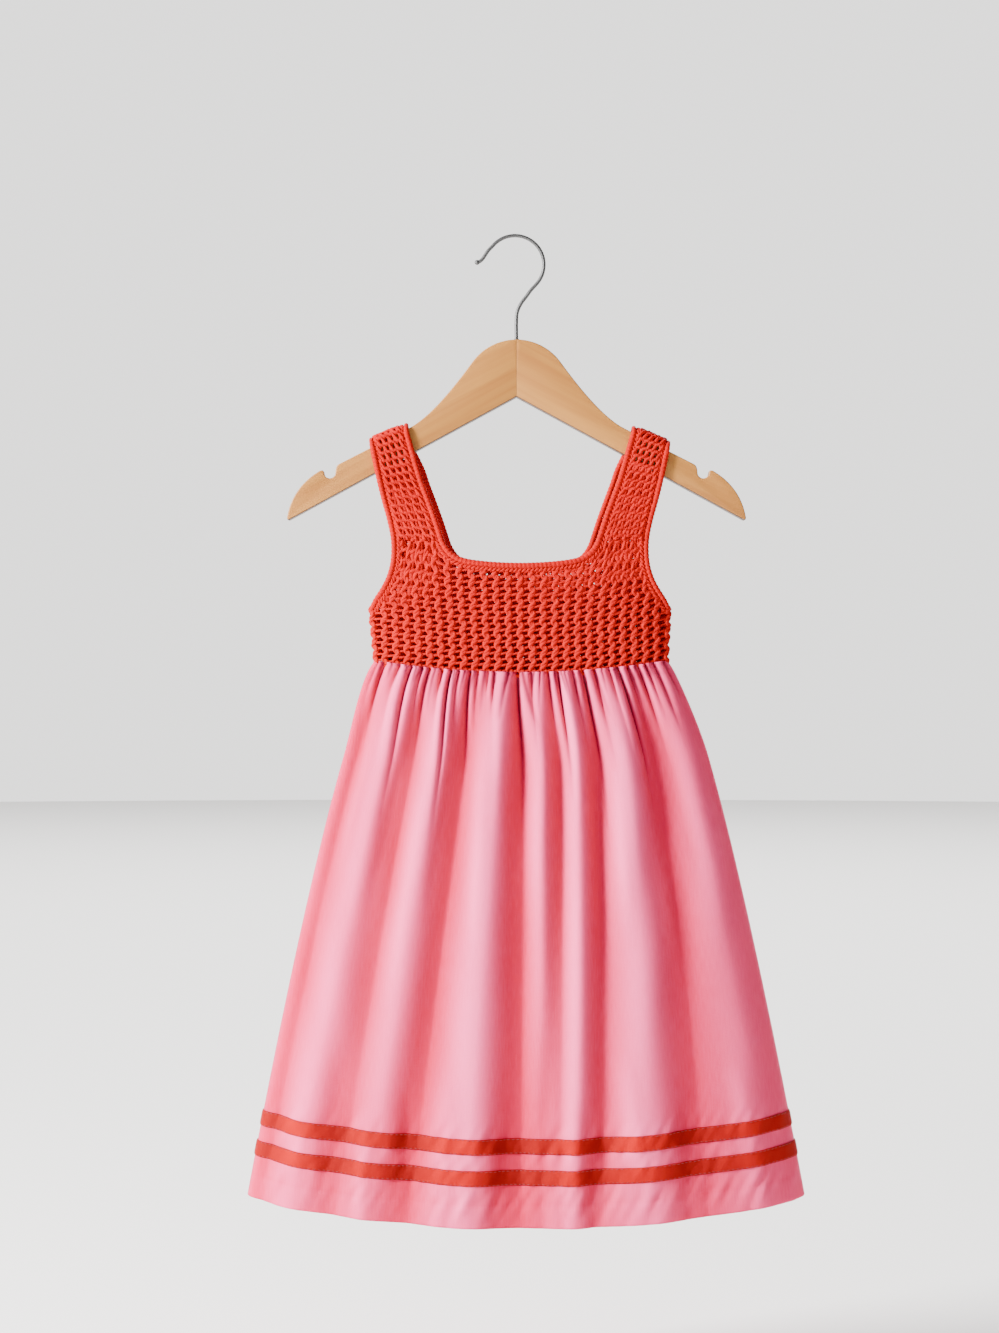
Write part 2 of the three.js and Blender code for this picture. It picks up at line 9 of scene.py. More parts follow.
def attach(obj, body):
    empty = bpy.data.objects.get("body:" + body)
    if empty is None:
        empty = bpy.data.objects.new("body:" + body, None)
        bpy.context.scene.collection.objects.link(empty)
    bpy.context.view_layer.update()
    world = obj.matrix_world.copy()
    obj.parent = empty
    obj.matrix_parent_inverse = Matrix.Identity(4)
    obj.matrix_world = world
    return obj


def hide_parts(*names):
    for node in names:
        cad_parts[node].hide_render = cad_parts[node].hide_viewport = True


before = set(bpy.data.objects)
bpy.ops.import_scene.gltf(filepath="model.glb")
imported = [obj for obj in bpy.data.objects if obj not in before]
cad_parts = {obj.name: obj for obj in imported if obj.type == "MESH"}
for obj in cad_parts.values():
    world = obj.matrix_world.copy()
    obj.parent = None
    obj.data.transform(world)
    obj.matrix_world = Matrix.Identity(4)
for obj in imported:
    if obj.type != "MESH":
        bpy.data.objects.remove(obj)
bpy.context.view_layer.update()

mm = 0.001


def mix(a, b, t):
    return a + (b - a) * t


def clamp(t, low=0.0, high=1.0):
    return max(low, min(high, t))


def ease(value, low, high):
    t = clamp((value - low) / (high - low))
    return t * t * (3 - 2 * t)


def table(columns, *rows):
    return [dict(zip(columns.split(), row)) for row in rows]


def meshObject(name, bm, *materials):
    for f in bm.faces:
        f.smooth = True
    mesh = bpy.data.meshes.new(name)
    bm.to_mesh(mesh)
    bm.free()
    for material in materials:
        mesh.materials.append(material)
    obj = bpy.data.objects.new(name, mesh)
    bpy.context.scene.collection.objects.link(obj)
    return obj


def fit(obj, node=None):
    # every piece is part of the one body, and some stand in for a solid
    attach(obj, "root")
    if node:
        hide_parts(node)


# Camera: level, square to the front, far enough back that the hem shows only a slight bulge
camera = {"distance": 2.0, "middleX": -0.0101, "middleZ": -0.2809, "lens": 82.5}


def addCamera():
    data = bpy.data.cameras.new("camera")
    data.lens = camera["lens"]
    data.sensor_width = 36
    obj = bpy.data.objects.new("camera", data)
    obj.location = (camera["middleX"], -camera["distance"], camera["middleZ"])
    obj.rotation_euler = (math.pi / 2, 0, 0)
    bpy.context.scene.collection.objects.link(obj)
    bpy.context.scene.camera = obj


studio = {
    "floorZ": -0.76, "floorRadius": 9,
    "floorColour": (0.9, 0.885, 0.87, 1),
    "backColour": (1.0, 0.985, 0.97, 1),
    "backStrength": 2.0,
    "roomStrength": 0.45,
    "backFrom": 0.1, "backFull": 0.85,
}
lamps = table(
    "name place aim size power",
    ("windowLeft", (-2.2, -1.15, 0.6), (0, 0, -0.35), 0.7, 320),
    ("fillRight", (1.8, -1.7, 0.1), (0, 0, -0.35), 1.6, 2),
    ("overhead", (0, 4.2, 3.2), (0, 4.2, -0.76), 5.5, 520),
    ("floorNear", (0, 0.9, 2.4), (0, 0.7, -0.76), 1.6, 22),
)


def addStudio():
    paint = bpy.data.materials.new("floorPaint")
    paint.use_nodes = True
    shader = paint.node_tree.nodes["Principled BSDF"]
    shader.inputs["Base Color"].default_value = studio["floorColour"]
    shader.inputs["Roughness"].default_value = 0.9
    bm = bmesh.new()
    bmesh.ops.create_circle(bm, cap_ends=True, segments=96, radius=studio["floorRadius"])
    bmesh.ops.translate(bm, verts=bm.verts, vec=(0, 0, studio["floorZ"]))
    meshObject("floor", bm, paint)

    # a pale room that is brighter behind the dress
    world = bpy.data.worlds.new("studio")
    world.use_nodes = True
    tree = world.node_tree
    background = tree.nodes["Background"]
    background.inputs["Color"].default_value = studio["backColour"]
    coords = tree.nodes.new("ShaderNodeTexCoord")
    split = tree.nodes.new("ShaderNodeSeparateXYZ")
    ramp = tree.nodes.new("ShaderNodeMapRange")
    ramp.interpolation_type = "SMOOTHSTEP"
    ramp.inputs["From Min"].default_value = studio["backFrom"]
    ramp.inputs["From Max"].default_value = studio["backFull"]
    ramp.inputs["To Min"].default_value = studio["roomStrength"]
    ramp.inputs["To Max"].default_value = studio["backStrength"]
    tree.links.new(coords.outputs["Generated"], split.inputs[0])
    tree.links.new(split.outputs["Y"], ramp.inputs["Value"])
    tree.links.new(ramp.outputs["Result"], background.inputs["Strength"])
    bpy.context.scene.world = world

    for lamp in lamps:
        light = bpy.data.lights.new(lamp["name"], "AREA")
        light.size = lamp["size"]
        light.energy = lamp["power"]
        holder = bpy.data.objects.new(lamp["name"], light)
        holder.location = lamp["place"]
        aim = Vector(lamp["aim"]) - Vector(lamp["place"])
        holder.rotation_euler = aim.to_track_quat("-Z", "Y").to_euler()
        bpy.context.scene.collection.objects.link(holder)


addCamera()
addStudio()
print("camera and studio are set")


# The dress's form, in millimetres. It repeats the solids' own sizes, and most of their tables.
dress = {
    "hangerX": 1, "yokeX": 3.3, "seamGap": 0.05,
    "underarmZ": -242.2, "underarmHalf": 98.2, "strapBaseZ": -198.3,
    "neckHalf": 49.5, "neckZ": -213.3, "neckCurve": 5, "neckCorner": 10,
    "yokeTopZ": -205, "flatAboveZ": -160,
    "strapRestY": 7.6, "strapTopX": 72.4, "strapTopZ": -123.3, "strapTopSlope": 0.4,
    "waistHalf": 96.3, "waistSideZ": -278.8, "waistDip": 7.9, "waistX": 4,
    "hemHalf": 182, "hemSideZ": -626.2, "hemDip": 15, "hemX": 7.3,
    "skirtLength": 356, "flare": 0.76, "roundness": 2.2, "yokeRoundness": 2.4,
    "bandWidth": 10, "bandHeights": {"lower": 27, "upper": 47}, "hemSeam": 340.3,
    "strapShiftFrom": 132, "strapShiftTo": 156, "overHangerZ": -128,
}

outerEdge = table(
    "z x",
    (-242.2, 98.2), (-236.6, 95.4), (-229.6, 90.8), (-222, 87), (-212, 84.4),
    (-198.3, 84.2), (-185, 86.8), (-172, 90.4), (-159, 93.6), (-128, 100.2),
)
innerEdge = table("z x", (-198.3, 49.5), (-185, 53.9), (-172, 58.6), (-159, 63.4), (-128, 72.4))

frontFolds = table(
    "atWaist atHem outHigh outHem",
    (-0.93, -0.95, -3, -3),
    (-0.75, -0.83, 4.5, 5.5),
    (-0.61, -0.68, -4, -1.5),
    (-0.47, -0.565, 5, 3),
    (-0.32, -0.425, -5, -6),
    (-0.145, -0.225, 6, 8),
    (-0.013, -0.02, -5, -7.5),
    (0.1, 0.05, 4, -4.5),
    (0.206, 0.11, -3.5, 2),
    (0.3, 0.17, 5, 6),
    (0.42, 0.265, -5, -2),
    (0.57, 0.44, 6, 6.5),
    (0.73, 0.645, -5.5, -3.5),
    (0.885, 0.86, 3, 3.5),
)
frontGathers = table(
    "at deep long",
    (-0.966, 1.2, 25), (-0.918, 2.0, 70), (-0.816, 1.4, 22), (-0.734, 2.7, 120),
    (-0.66, 1.5, 18), (-0.62, 2.0, 60), (-0.524, 1.6, 20), (-0.469, 2.9, 130),
    (-0.42, 1.5, 16), (-0.34, 2.6, 90), (-0.292, 1.3, 14), (-0.217, 1.4, 18),
    (-0.184, 1.8, 30), (-0.02, 2.9, 130), (0.068, 1.6, 30),
    (0.184, 2.2, 44), (0.245, 2.6, 110), (0.347, 1.6, 30), (0.415, 2.7, 130),
    (0.49, 1.8, 40), (0.592, 1.5, 22), (0.653, 2.6, 120), (0.714, 1.6, 26),
    (0.789, 2.1, 70), (0.837, 1.4, 18), (0.891, 1.8, 50), (0.966, 1.1, 24),
)

# Soft creases: place across, from and to down the skirt in mm, height, width in mm, and drift across
frontCreases = table(
    "at start end out width drift",
    (-0.86, 20, 150, 0.9, 4, -0.02),
    (-0.68, 30, 190, -1.1, 4.5, -0.05),
    (-0.53, 60, 230, 0.8, 5, -0.03),
    (-0.41, 40, 170, -1.0, 4, -0.05),
    (-0.24, 25, 200, 1.1, 5, 0.02),
    (-0.10, 30, 150, -0.9, 4, 0.03),
    (0.05, 60, 260, 1.0, 5, 0.03),
    (0.15, 20, 140, -0.8, 4, -0.04),
    (0.25, 110, 300, 0.8, 6, -0.04),
    (0.36, 30, 210, -1.2, 4.5, -0.02),
    (0.49, 40, 180, 0.9, 4.5, -0.04),
    (0.64, 60, 240, 1.0, 6, 0.03),
    (0.79, 20, 160, -1.0, 5, 0.03),
    (-0.74, 240, 356, -1.0, 7, 0.03),
    (-0.60, 280, 356, 1.1, 5, 0.02),
    (-0.47, 262, 345, -0.8, 5, 0.04),
    (-0.30, 250, 356, 1.0, 7, -0.02),
    (-0.08, 285, 356, -1.1, 6, -0.03),
    (0.22, 268, 356, -0.9, 5, 0.02),
    (0.39, 240, 340, 0.9, 6, 0.03),
    (0.61, 275, 356, -1.0, 7, -0.03),
    (0.82, 250, 356, 0.9, 6, 0.02),
)


def turnedRound(rows, places, heights, share):
    # the same rows as the back has them: mirrored, and with a share of their height
    turned = []
    for row in reversed(rows):
        new = dict(row)
        new.update({key: -row[key] for key in places})
        new.update({key: row[key] * share for key in heights})
        turned.append(new)
    return turned


faces = {
    "front": {
        "sign": -1, "yokeDepth": 13.5, "hemDepth": 44, "strapShift": 0, "neckDrop": 0,
        "folds": frontFolds, "gathers": frontGathers, "creases": frontCreases,
    },
    "back": {
        "sign": 1, "yokeDepth": 12, "hemDepth": 36, "strapShift": 3.6, "neckDrop": 1.2,
        "folds": turnedRound(frontFolds, ("atWaist", "atHem"), ("outHigh", "outHem"), 0.85),
        "gathers": turnedRound(frontGathers, ("at",), ("deep",), 0.85),
        "creases": turnedRound(frontCreases, ("at", "drift"), ("out",), 1.1),
    },
}


def edgeAt(rows, z):
    # a smooth curve through the rows of an edge
    last = len(rows) - 1
    i = next((k for k in range(last) if z <= rows[k + 1]["z"]), last - 1)

    def slope(k):
        before, after = rows[max(k - 1, 0)], rows[min(k + 1, last)]
        return (after["x"] - before["x"]) / (after["z"] - before["z"])

    span = rows[i + 1]["z"] - rows[i]["z"]
    t = clamp((z - rows[i]["z"]) / span, -0.5, 1.5)
    start = (1 + 2 * t) * (1 - t) ** 2 * rows[i]["x"] + t * (1 - t) ** 2 * span * slope(i)
    return start + t * t * (3 - 2 * t) * rows[i + 1]["x"] + t * t * (t - 1) * span * slope(i + 1)


def waistZ(across):
    return dress["waistSideZ"] - dress["waistDip"] * (1 - across**2)


def hemZ(across):
    return dress["hemSideZ"] - dress["hemDip"] * (1 - across**2)


def stepIn(knots, place):
    # the pair of knots that the place lies between, and how far along it is
    i = 0
    while i < len(knots) - 2 and place > knots[i + 1][0]:
        i += 1
    (x0, h0), (x1, h1) = knots[i], knots[i + 1]
    return h0, h1, clamp((place - x0) / (x1 - x0))


# How the cloth falls: the shares and powers that shape a fold, and the distances in mm down from the waist
# darkGather and its width and length set the painted shade in the gathers, and crestStep and litSide the
# painted light on a fold's side towards the window
drape = {
    "leanWaist": 0.35, "leanHem": 0.28, "steepSide": 2.2, "slowSide": 1.3, "gatherCrest": 2.2,
    "gatherOut": 1.2, "gatherIn": 1.35, "darkGather": 2.6, "darkGatherWidth": 1.1, "darkGatherLong": 0.75,
    "depthPower": 0.85, "hemFolds": 0.78, "calmFrom": 290, "calm": 0.3,
    "foldsGrow": (-0.06, 0.16), "lowerFrom": 0.25, "middleMoves": (0, 0.18),
    "wavesWaist": 1.6, "wavesHem": 0.8, "waveWide": 21, "waveLong": 75, "puckerLong": 5.5,
    "seamGroove": 0.45, "seamWidth": 1.1, "doubleCloth": 0.35, "lip": 1.7, "lipLong": 6,
    "crestStep": 0.018, "litSide": 0.75,
}


def foldProfile(knots, place, lean):
    # a fold rises steeply on the wearer's right of its crest and falls slowly on the other side
    h0, h1, t = stepIn(knots, place)
    leaning = t ** drape["slowSide"] if h0 > h1 else 1 - (1 - t) ** drape["steepSide"]
    return mix(h0, h1, mix(t * t * (3 - 2 * t), leaning, lean))


def gatherProfile(knots, place):
    # wide round crests with narrow creases between them
    h0, h1, t = stepIn(knots, place)
    power = drape["gatherCrest"]
    return mix(h0, h1, t**power) if h0 > h1 else mix(h1, h0, (1 - t) ** power)


def gatherLines(face):
    lines = [(-1, 0, 1)]
    before = {"at": -1, "deep": 0, "long": 1}
    for row in face["gathers"]:
        middle = {key: (before[key] + row[key]) / 2 for key in row}
        lines.append((middle["at"], middle["deep"] * drape["gatherOut"], middle["long"]))
        lines.append((row["at"], -row["deep"] * drape["gatherIn"], row["long"]))
        before = row
    lines.append(((before["at"] + 1) / 2, before["deep"] / 2, before["long"] / 2))
    lines.append((1, 0, 1))
    return lines


# Short narrow creases just under the seam, unevenly placed
smallTucks = {
    "count": 34, "half": 0.97, "start": -1, "end": (9, 30), "deep": (0.5, 1.2), "width": (0.7, 1.1),
    "drift": (-0.03, 0.03), "seeds": {"front": 5, "back": 11},
}
# In the middle of the front two longer creases run apart from a flat fold
pleatTucks = table(
    "at start end out width drift",
    (-0.088, -1, 30, -1.5, 1.4, -0.06), (0.0135, -1, 36, -1.7, 1.5, 0.075),
)
pleatFrom, pleatTo = -0.2, 0.05


def drawTucks(side):
    draw = random.Random(smallTucks["seeds"][side])
    count, half = smallTucks["count"], smallTucks["half"]
    return [
        {
            "at": mix(-half, half, (k + draw.uniform(0.1, 0.9)) / count),
            "start": smallTucks["start"], "end": draw.uniform(*smallTucks["end"]),
            "out": -draw.uniform(*smallTucks["deep"]), "width": draw.uniform(*smallTucks["width"]),
            "drift": draw.uniform(*smallTucks["drift"]),
        }
        for k in range(count)
    ]


faces["back"]["tucks"] = drawTucks("back")
sideTucks = [tuck for tuck in drawTucks("front") if not pleatFrom < tuck["at"] < pleatTo]
faces["front"]["tucks"] = sideTucks + pleatTucks

# Stitched lines pucker the cloth: distance down the skirt, reach and height
puckerLines = table(
    "down reach height",
    (299, 9, 1.2), (309, 5, 0.8), (319, 5, 0.9), (329, 7, 0.8),
    (dress["hemSeam"], 9, 1.3), (dress["skirtLength"], 8, 0.5),
)


class SkirtRow:
    # One row of the skirt, at a distance down from the waist. Across runs from -1 to 1 between the seams.
    def __init__(self, face, distance):
        length = dress["skirtLength"]
        down = clamp(distance / length)
        lower = clamp((down - drape["lowerFrom"]) / (1 - drape["lowerFrom"]))
        self.face, self.distance, self.down = face, distance, down
        self.half = mix(dress["waistHalf"], dress["hemHalf"], down ** dress["flare"])
        self.deep = mix(face["yokeDepth"], face["hemDepth"], down ** drape["depthPower"])
        self.middle = mix(dress["waistX"], dress["hemX"], ease(down, *drape["middleMoves"]))
        calmer = 1 - drape["calm"] * ease(distance, drape["calmFrom"], length)
        strength = ease(down, *drape["foldsGrow"]) * calmer
        self.folds = [(-1, 0)]
        for fold in face["folds"]:
            height = mix(fold["outHigh"], drape["hemFolds"] * fold["outHem"], lower)
            self.folds.append((mix(fold["atWaist"], fold["atHem"], down), strength * height))
        self.folds.append((1, 0))
        self.gathers = [(at, out * (1 - ease(distance, 0, far))) for at, out, far in gatherLines(face)]
        self.creases = []
        for c in face["creases"]:
            t = (distance - c["start"]) / (c["end"] - c["start"])
            if 0 < t < 1 or (t >= 1 and c["end"] >= length):
                window = ease(t, 0, 0.3) * (1 if c["end"] >= length else 1 - ease(t, 0.6, 1))
                self.creases.append((c["at"] + c["drift"] * t, c["out"] * window, c["width"]))
        # lines of painted shade along the tucks and the gathers near the waist
        self.darkLines = []
        for tuck in face["tucks"]:
            t = (distance - tuck["start"]) / (tuck["end"] - tuck["start"])
            if t < 1:
                line = (tuck["at"] + tuck["drift"] * t, tuck["out"] * (1 - t), tuck["width"])
                self.creases.append(line)
                self.darkLines.append((line[0], 1 - t, line[2]))
        for gather in face["gathers"]:
            far = drape["darkGatherLong"] * gather["long"]
            if distance < far:
                depth = gather["deep"] / drape["darkGather"] * (1 - ease(distance, 0, far))
                self.darkLines.append((gather["at"], depth, drape["darkGatherWidth"]))

    def out(self, across):
        # how far the cloth stands out of the smooth tube, in mm
        x = across * self.half
        height = foldProfile(self.folds, across, mix(drape["leanWaist"], drape["leanHem"], self.down))
        height += gatherProfile(self.gathers, across)
        for at, out, width in self.creases:
            height += out * math.exp(-(((across - at) * self.half / width) ** 2))
        for line in puckerLines:
            near = (self.distance - line["down"]) / line["reach"]
            if abs(near) < 2.5:
                along = x + 0.5 * (self.distance - line["down"])
                seed = Vector((along / drape["puckerLong"], line["down"] * 0.31, self.face["sign"] * 3.7))
                height += line["height"] * noise.noise(seed) * math.exp(-near * near)
        seed = Vector((x / drape["waveWide"], self.distance / drape["waveLong"], self.face["sign"] * 8.3))
        height += mix(drape["wavesWaist"], drape["wavesHem"], self.down) * noise.noise(seed)
        # the hem's stitched line, and the turned-up cloth below it
        fromSeam = self.distance - dress["hemSeam"]
        height -= drape["seamGroove"] * math.exp(-((fromSeam / drape["seamWidth"]) ** 2))
        return height + drape["doubleCloth"] * ease(fromSeam, -0.3, 2.2)

    def paintedLightAndShade(self, across):
        # painted light and shade: high places and the side of a fold that rises to the wearer's left,
        # towards the window light, are paler; low places are deeper
        rise = self.out(across + drape["crestStep"]) - self.out(across - drape["crestStep"])
        return clamp(0.5 + (self.out(across) + drape["litSide"] * rise) / skirt["relief"])

    def shade(self, across):
        # painted shade: how dark a gather or a tuck is painted here
        dark = 0
        for at, depth, width in self.darkLines:
            dark = max(dark, depth * math.exp(-(((across - at) * self.half / width) ** 2)))
        return clamp(dark)

    def point(self, across):
        power = dress["roundness"]
        rounded = math.sqrt(max(0, 1 - abs(across) ** power))
        outward = Vector((
            power * math.copysign(abs(across) ** (power - 1), across) / self.half,
            self.face["sign"] * 2 * rounded / self.deep,
            0,
        )).normalized()
        fade = ease(1 - abs(across), 0, 0.06)
        lip = drape["lip"] * (1 - ease(self.distance, 0, drape["lipLong"]))
        z = mix(waistZ(across), hemZ(across), self.distance / dress["skirtLength"])
        place = Vector((self.middle + self.half * across, self.face["sign"] * self.deep * rounded, z))
        return place + outward * fade * (self.out(across) + lip)


# Rows are close together at the waist and near the hem, where the small creases are
rowSteps = table("upTo step", (44, 1.8), (120, 3.6), (280, 5.4), (dress["skirtLength"], 1.9))
underYoke = 2.3


def rowDistances():
    distances = [-underYoke]
    while distances[-1] < dress["skirtLength"]:
        step = next(row["step"] for row in rowSteps if distances[-1] < row["upTo"])
        distances.append(min(distances[-1] + step, dress["skirtLength"]))
    return distances


def clothSheet(name, columns, distances, pointAt, uvAt, paintedShadingAt, sign, thickness, material):
    # pointAt gives the places in mm, and the function after uvAt the painted light and shade: from how high
    # the cloth lies and which way it faces, and in its tucks
    bm = bmesh.new()
    uv = bm.loops.layers.uv.new("UVMap")
    paintedLightAndShade = bm.verts.layers.float.new("paintedLightAndShade")
    tuck = bm.verts.layers.float.new("tuck")
    bmesh.ops.create_grid(bm, x_segments=columns, y_segments=len(distances) - 1, size=1)
    where = {}
    for vert in bm.verts:
        row = round((1 - vert.co.y) / 2 * (len(distances) - 1))
        across = vert.co.x
        where[vert.index] = (across, distances[row])
        vert.co = pointAt(row, across) * mm
        vert[paintedLightAndShade], vert[tuck] = paintedShadingAt(row, across)
    for f in bm.faces:
        for loop in f.loops:
            loop[uv].uv = uvAt(*where[loop.vert.index])
    bm.normal_update()
    facing = sum(f.normal.y for f in bm.faces)
    if facing * sign < 0:
        bmesh.ops.reverse_faces(bm, faces=bm.faces)
    obj = meshObject(name, bm, material)
    shell = obj.modifiers.new("thickness", "SOLIDIFY")
    shell.thickness = thickness
    shell.offset = 0
    return obj


def seamed(place, across, sign):
    if abs(across) > 0.9999:
        place.y = sign * dress["seamGap"] / 2
    return place


skirt = {"columns": 300, "thickness": 0.0008, "relief": 13, "uvWaist": 0.165, "uvHem": 0.22}


def makeSkirt(side, material):
    face = faces[side]
    distances = rowDistances()
    rows = [SkirtRow(face, d) for d in distances]

    def pointAt(row, across):
        return seamed(rows[row].point(across), across, face["sign"])

    def uvAt(across, distance):
        half = mix(skirt["uvWaist"], skirt["uvHem"], distance / dress["skirtLength"])
        return (across * half, distance * mm)

    def paintedShadingAt(row, across):
        return rows[row].paintedLightAndShade(across), rows[row].shade(across)

    obj = clothSheet(
        f"skirt_{side}_cloth", skirt["columns"], distances, pointAt, uvAt, paintedShadingAt,
        face["sign"], skirt["thickness"], material,
    )
    fit(obj, f"skirt_{side}")
    return obj


rowCache = {}


def skirtRow(face, distance):
    key = (face["sign"], round(distance, 4))
    if key not in rowCache:
        rowCache[key] = SkirtRow(face, distance)
    return rowCache[key]


def surfacePoint(face, distance, across, extra):
    # a place that stands square out of the skirt's cloth
    step, reach = 1.0, 0.004
    above, here, below = (skirtRow(face, distance + d) for d in (-step, 0, step))
    left, right = here.point(max(-1, across - reach)), here.point(min(1, across + reach))
    normal = (right - left).cross(below.point(across) - above.point(across)).normalized()
    if normal.y * face["sign"] < 0:
        normal.negate()
    return here.point(across) + normal * extra


band = {"columns": 300, "rows": 8, "out": 0.98, "edgeOut": 0.72, "thickness": 0.0005, "uvHalf": 0.21}


def makeBand(level, side, material):
    face = faces[side]
    bottom = dress["skirtLength"] - dress["bandHeights"][level]
    distances = [bottom - dress["bandWidth"] * (1 - i / band["rows"]) for i in range(band["rows"] + 1)]

    def pointAt(row, across):
        t = row / band["rows"] * 2 - 1
        out = mix(band["out"], band["edgeOut"], t**8)
        return seamed(surfacePoint(face, distances[row], across, out), across, face["sign"])

    def uvAt(across, distance):
        return (across * band["uvHalf"], (distance - bottom) * mm)

    # the band takes the skirt's painted light and shade, but no painted tuck shade
    def paintedShadingAt(row, across):
        return skirtRow(face, distances[row]).paintedLightAndShade(across), 0

    obj = clothSheet(
        f"band_{level}_{side}_strip", band["columns"], distances, pointAt, uvAt, paintedShadingAt,
        face["sign"], band["thickness"], material,
    )
    fit(obj, f"band_{level}_{side}")
    return obj


stitching = {
    "length": 2.5, "gap": 0.5, "radius": 0.24, "flat": 1.4,
    "half": 0.985, "steps": 1400, "fromEdge": 0.7, "out": 1.15,
}


def makeStitches(level, side, material):
    # one line of stitches along each edge of the band
    face = faces[side]
    bottom = dress["skirtLength"] - dress["bandHeights"][level]
    half, steps = stitching["half"], stitching["steps"]
    length, radius = stitching["length"], stitching["radius"]
    bm = bmesh.new()
    for distance in (bottom - dress["bandWidth"] + stitching["fromEdge"], bottom - stitching["fromEdge"]):
        row = skirtRow(face, distance)
        places = [row.point(mix(-half, half, i / steps)) for i in range(steps + 1)]
        travelled, last = 0.0, 0
        for i in range(1, len(places)):
            travelled += (places[i] - places[i - 1]).length
            if travelled < length + stitching["gap"]:
                continue
            middle = mix(-half, half, (last + i) / (2 * steps))
            centre = surfacePoint(face, distance, middle, stitching["out"])
            along = (places[i] - places[last]).normalized()
            turn = along.to_track_quat("X", "Z").to_matrix().to_4x4()
            size = Matrix.Diagonal((length / 2, radius * stitching["flat"], radius, 1))
            bmesh.ops.create_icosphere(
                bm, subdivisions=1, radius=mm,
                matrix=Matrix.Translation(centre * mm) @ turn @ size,
            )
            travelled, last = 0.0, i
    obj = meshObject(f"band_{level}_{side}_stitches", bm, material)
    fit(obj)
    return obj


# Crochet, in millimetres. A wale is a column of stitches, numbered from the middle of the dress, and rows
# run from the waist up. Core, bar and waist are the radii of those strands, and least is the core's share
# of its radius where the stitches are narrowest. The bar's lists go by quarters of a wale.
crochet = {
    "pitch": 7.43, "yarn": 1.22, "cross": 0.55, "reach": 1.3,
    "coreIn": 0.95, "barSlant": 0.5, "uneven": 0.42,
    "parts": {
        "front": {"sway": 1.1, "least": 0.72, "core": 2.1, "bar": 0.86, "waist": 1.2},
        "back": {"sway": 0.2, "least": 0.95, "core": 2.5, "bar": 0.92, "waist": 1.9},
        "strap": {"sway": 0.35, "least": 0.75, "core": 2.0, "bar": 1.15},
    },
    "narrowest": 0.72, "rowPitch": 3.82, "rows": 20, "stepsPerRow": 6, "strapRowPitch": 5.3,
    "middleWales": 7, "strapWales": 11, "armholeWale": 12, "sideWale": 13,
    "edgingInset": 6.3, "sideInset": 1.4, "waistLift": 0.9,
    "seventhWaleX": 52, "twelfthWaleX": 88.6, "underarmRowZ": -243.5, "armholeFullZ": -250,
    "riseFrom": 12, "rise": 0.3, "risingWales": (5.5, 8), "neckFromZ": -262, "strapBlendZ": (-246, -214),
    "barOut": (-0.4, 0.05, 0.3, 0.05), "barWay": (0, -1, 0, 1), "barWidest": 1.5, "barUneven": 0.05,
    "slimmest": 0.78, "fatUneven": 0.12, "barFatUneven": 0.2, "waistRow": -0.3, "waistIn": 0.8,
    "seenFrom": 2000, "seenX": -13, "seenZ": -281,
}


def shiftAt(face, z):
    return face["strapShift"] * ease(-z, dress["strapShiftFrom"], dress["strapShiftTo"])


def outerAt(face, z):
    return edgeAt(outerEdge, z) - shiftAt(face, z) * ease(z, dress["underarmZ"], dress["yokeTopZ"])


def innerAt(face, z):
    return edgeAt(innerEdge, z) - shiftAt(face, z)


def neckAt(face, share):
    corner = (dress["neckCorner"] + face["neckDrop"]) * abs(share) ** 10
    return dress["neckZ"] - face["neckDrop"] + dress["neckCurve"] * share**2 + corner


def waistToUnderarm(low, high, z):
    return mix(low, high, ease(z, dress["waistSideZ"], dress["underarmZ"]))


def bodyDepth(face, x, z):
    across = min(abs(x) / waistToUnderarm(dress["waistHalf"], dress["underarmHalf"], z), 1)
    tube = face["yokeDepth"] * math.sqrt(max(0, 1 - across ** dress["yokeRoundness"]))
    return mix(tube, dress["strapRestY"], ease(z, dress["yokeTopZ"], dress["flatAboveZ"]))


def onBody(face, x, z, out=0.0):
    middle = waistToUnderarm(dress["waistX"], dress["yokeX"], z)
    slope = bodyDepth(face, x + 0.5, z) - bodyDepth(face, x - 0.5, z)
    normal = Vector((-slope, face["sign"], 0)).normalized()
    return Vector((middle + x, face["sign"] * bodyDepth(face, x, z), z)) + normal * out, normal


def waleX(wale, z):
    # wales keep clear of the neck and armhole edgings, and the last one follows the side
    n, face = abs(wale), faces["front"]
    inset = crochet["edgingInset"]
    neckSide = innerAt(face, max(z, dress["strapBaseZ"])) + inset
    inner = mix(crochet["seventhWaleX"], neckSide, ease(z, crochet["neckFromZ"], dress["yokeTopZ"]))
    outer = min(crochet["twelfthWaleX"], outerAt(face, max(z, dress["underarmZ"])) - inset)
    side = waistToUnderarm(dress["waistHalf"], dress["underarmHalf"], z) - crochet["sideInset"]
    first, strap, armhole = crochet["middleWales"], crochet["strapWales"], crochet["armholeWale"]
    blend = ease(z, *crochet["strapBlendZ"])
    pitch = (outer - inner) * mix(1 / (armhole - first), 1 / (strap - first), blend)
    if n <= first:
        x = inner * n / first
    elif n <= armhole:
        x = inner + pitch * (n - first)
    else:
        x = mix(inner + pitch * (armhole - first), side, n - armhole)
    return math.copysign(x, wale)


def rowZ(wale, row):
    across = clamp(wale / crochet["sideWale"], -1, 1)
    # under the straps the rows grow higher towards the top
    growth = crochet["rise"] * max(0, row - crochet["riseFrom"]) ** 2
    growth *= ease(abs(wale), *crochet["risingWales"])
    return waistZ(across) + crochet["waistLift"] + crochet["rowPitch"] * row + growth


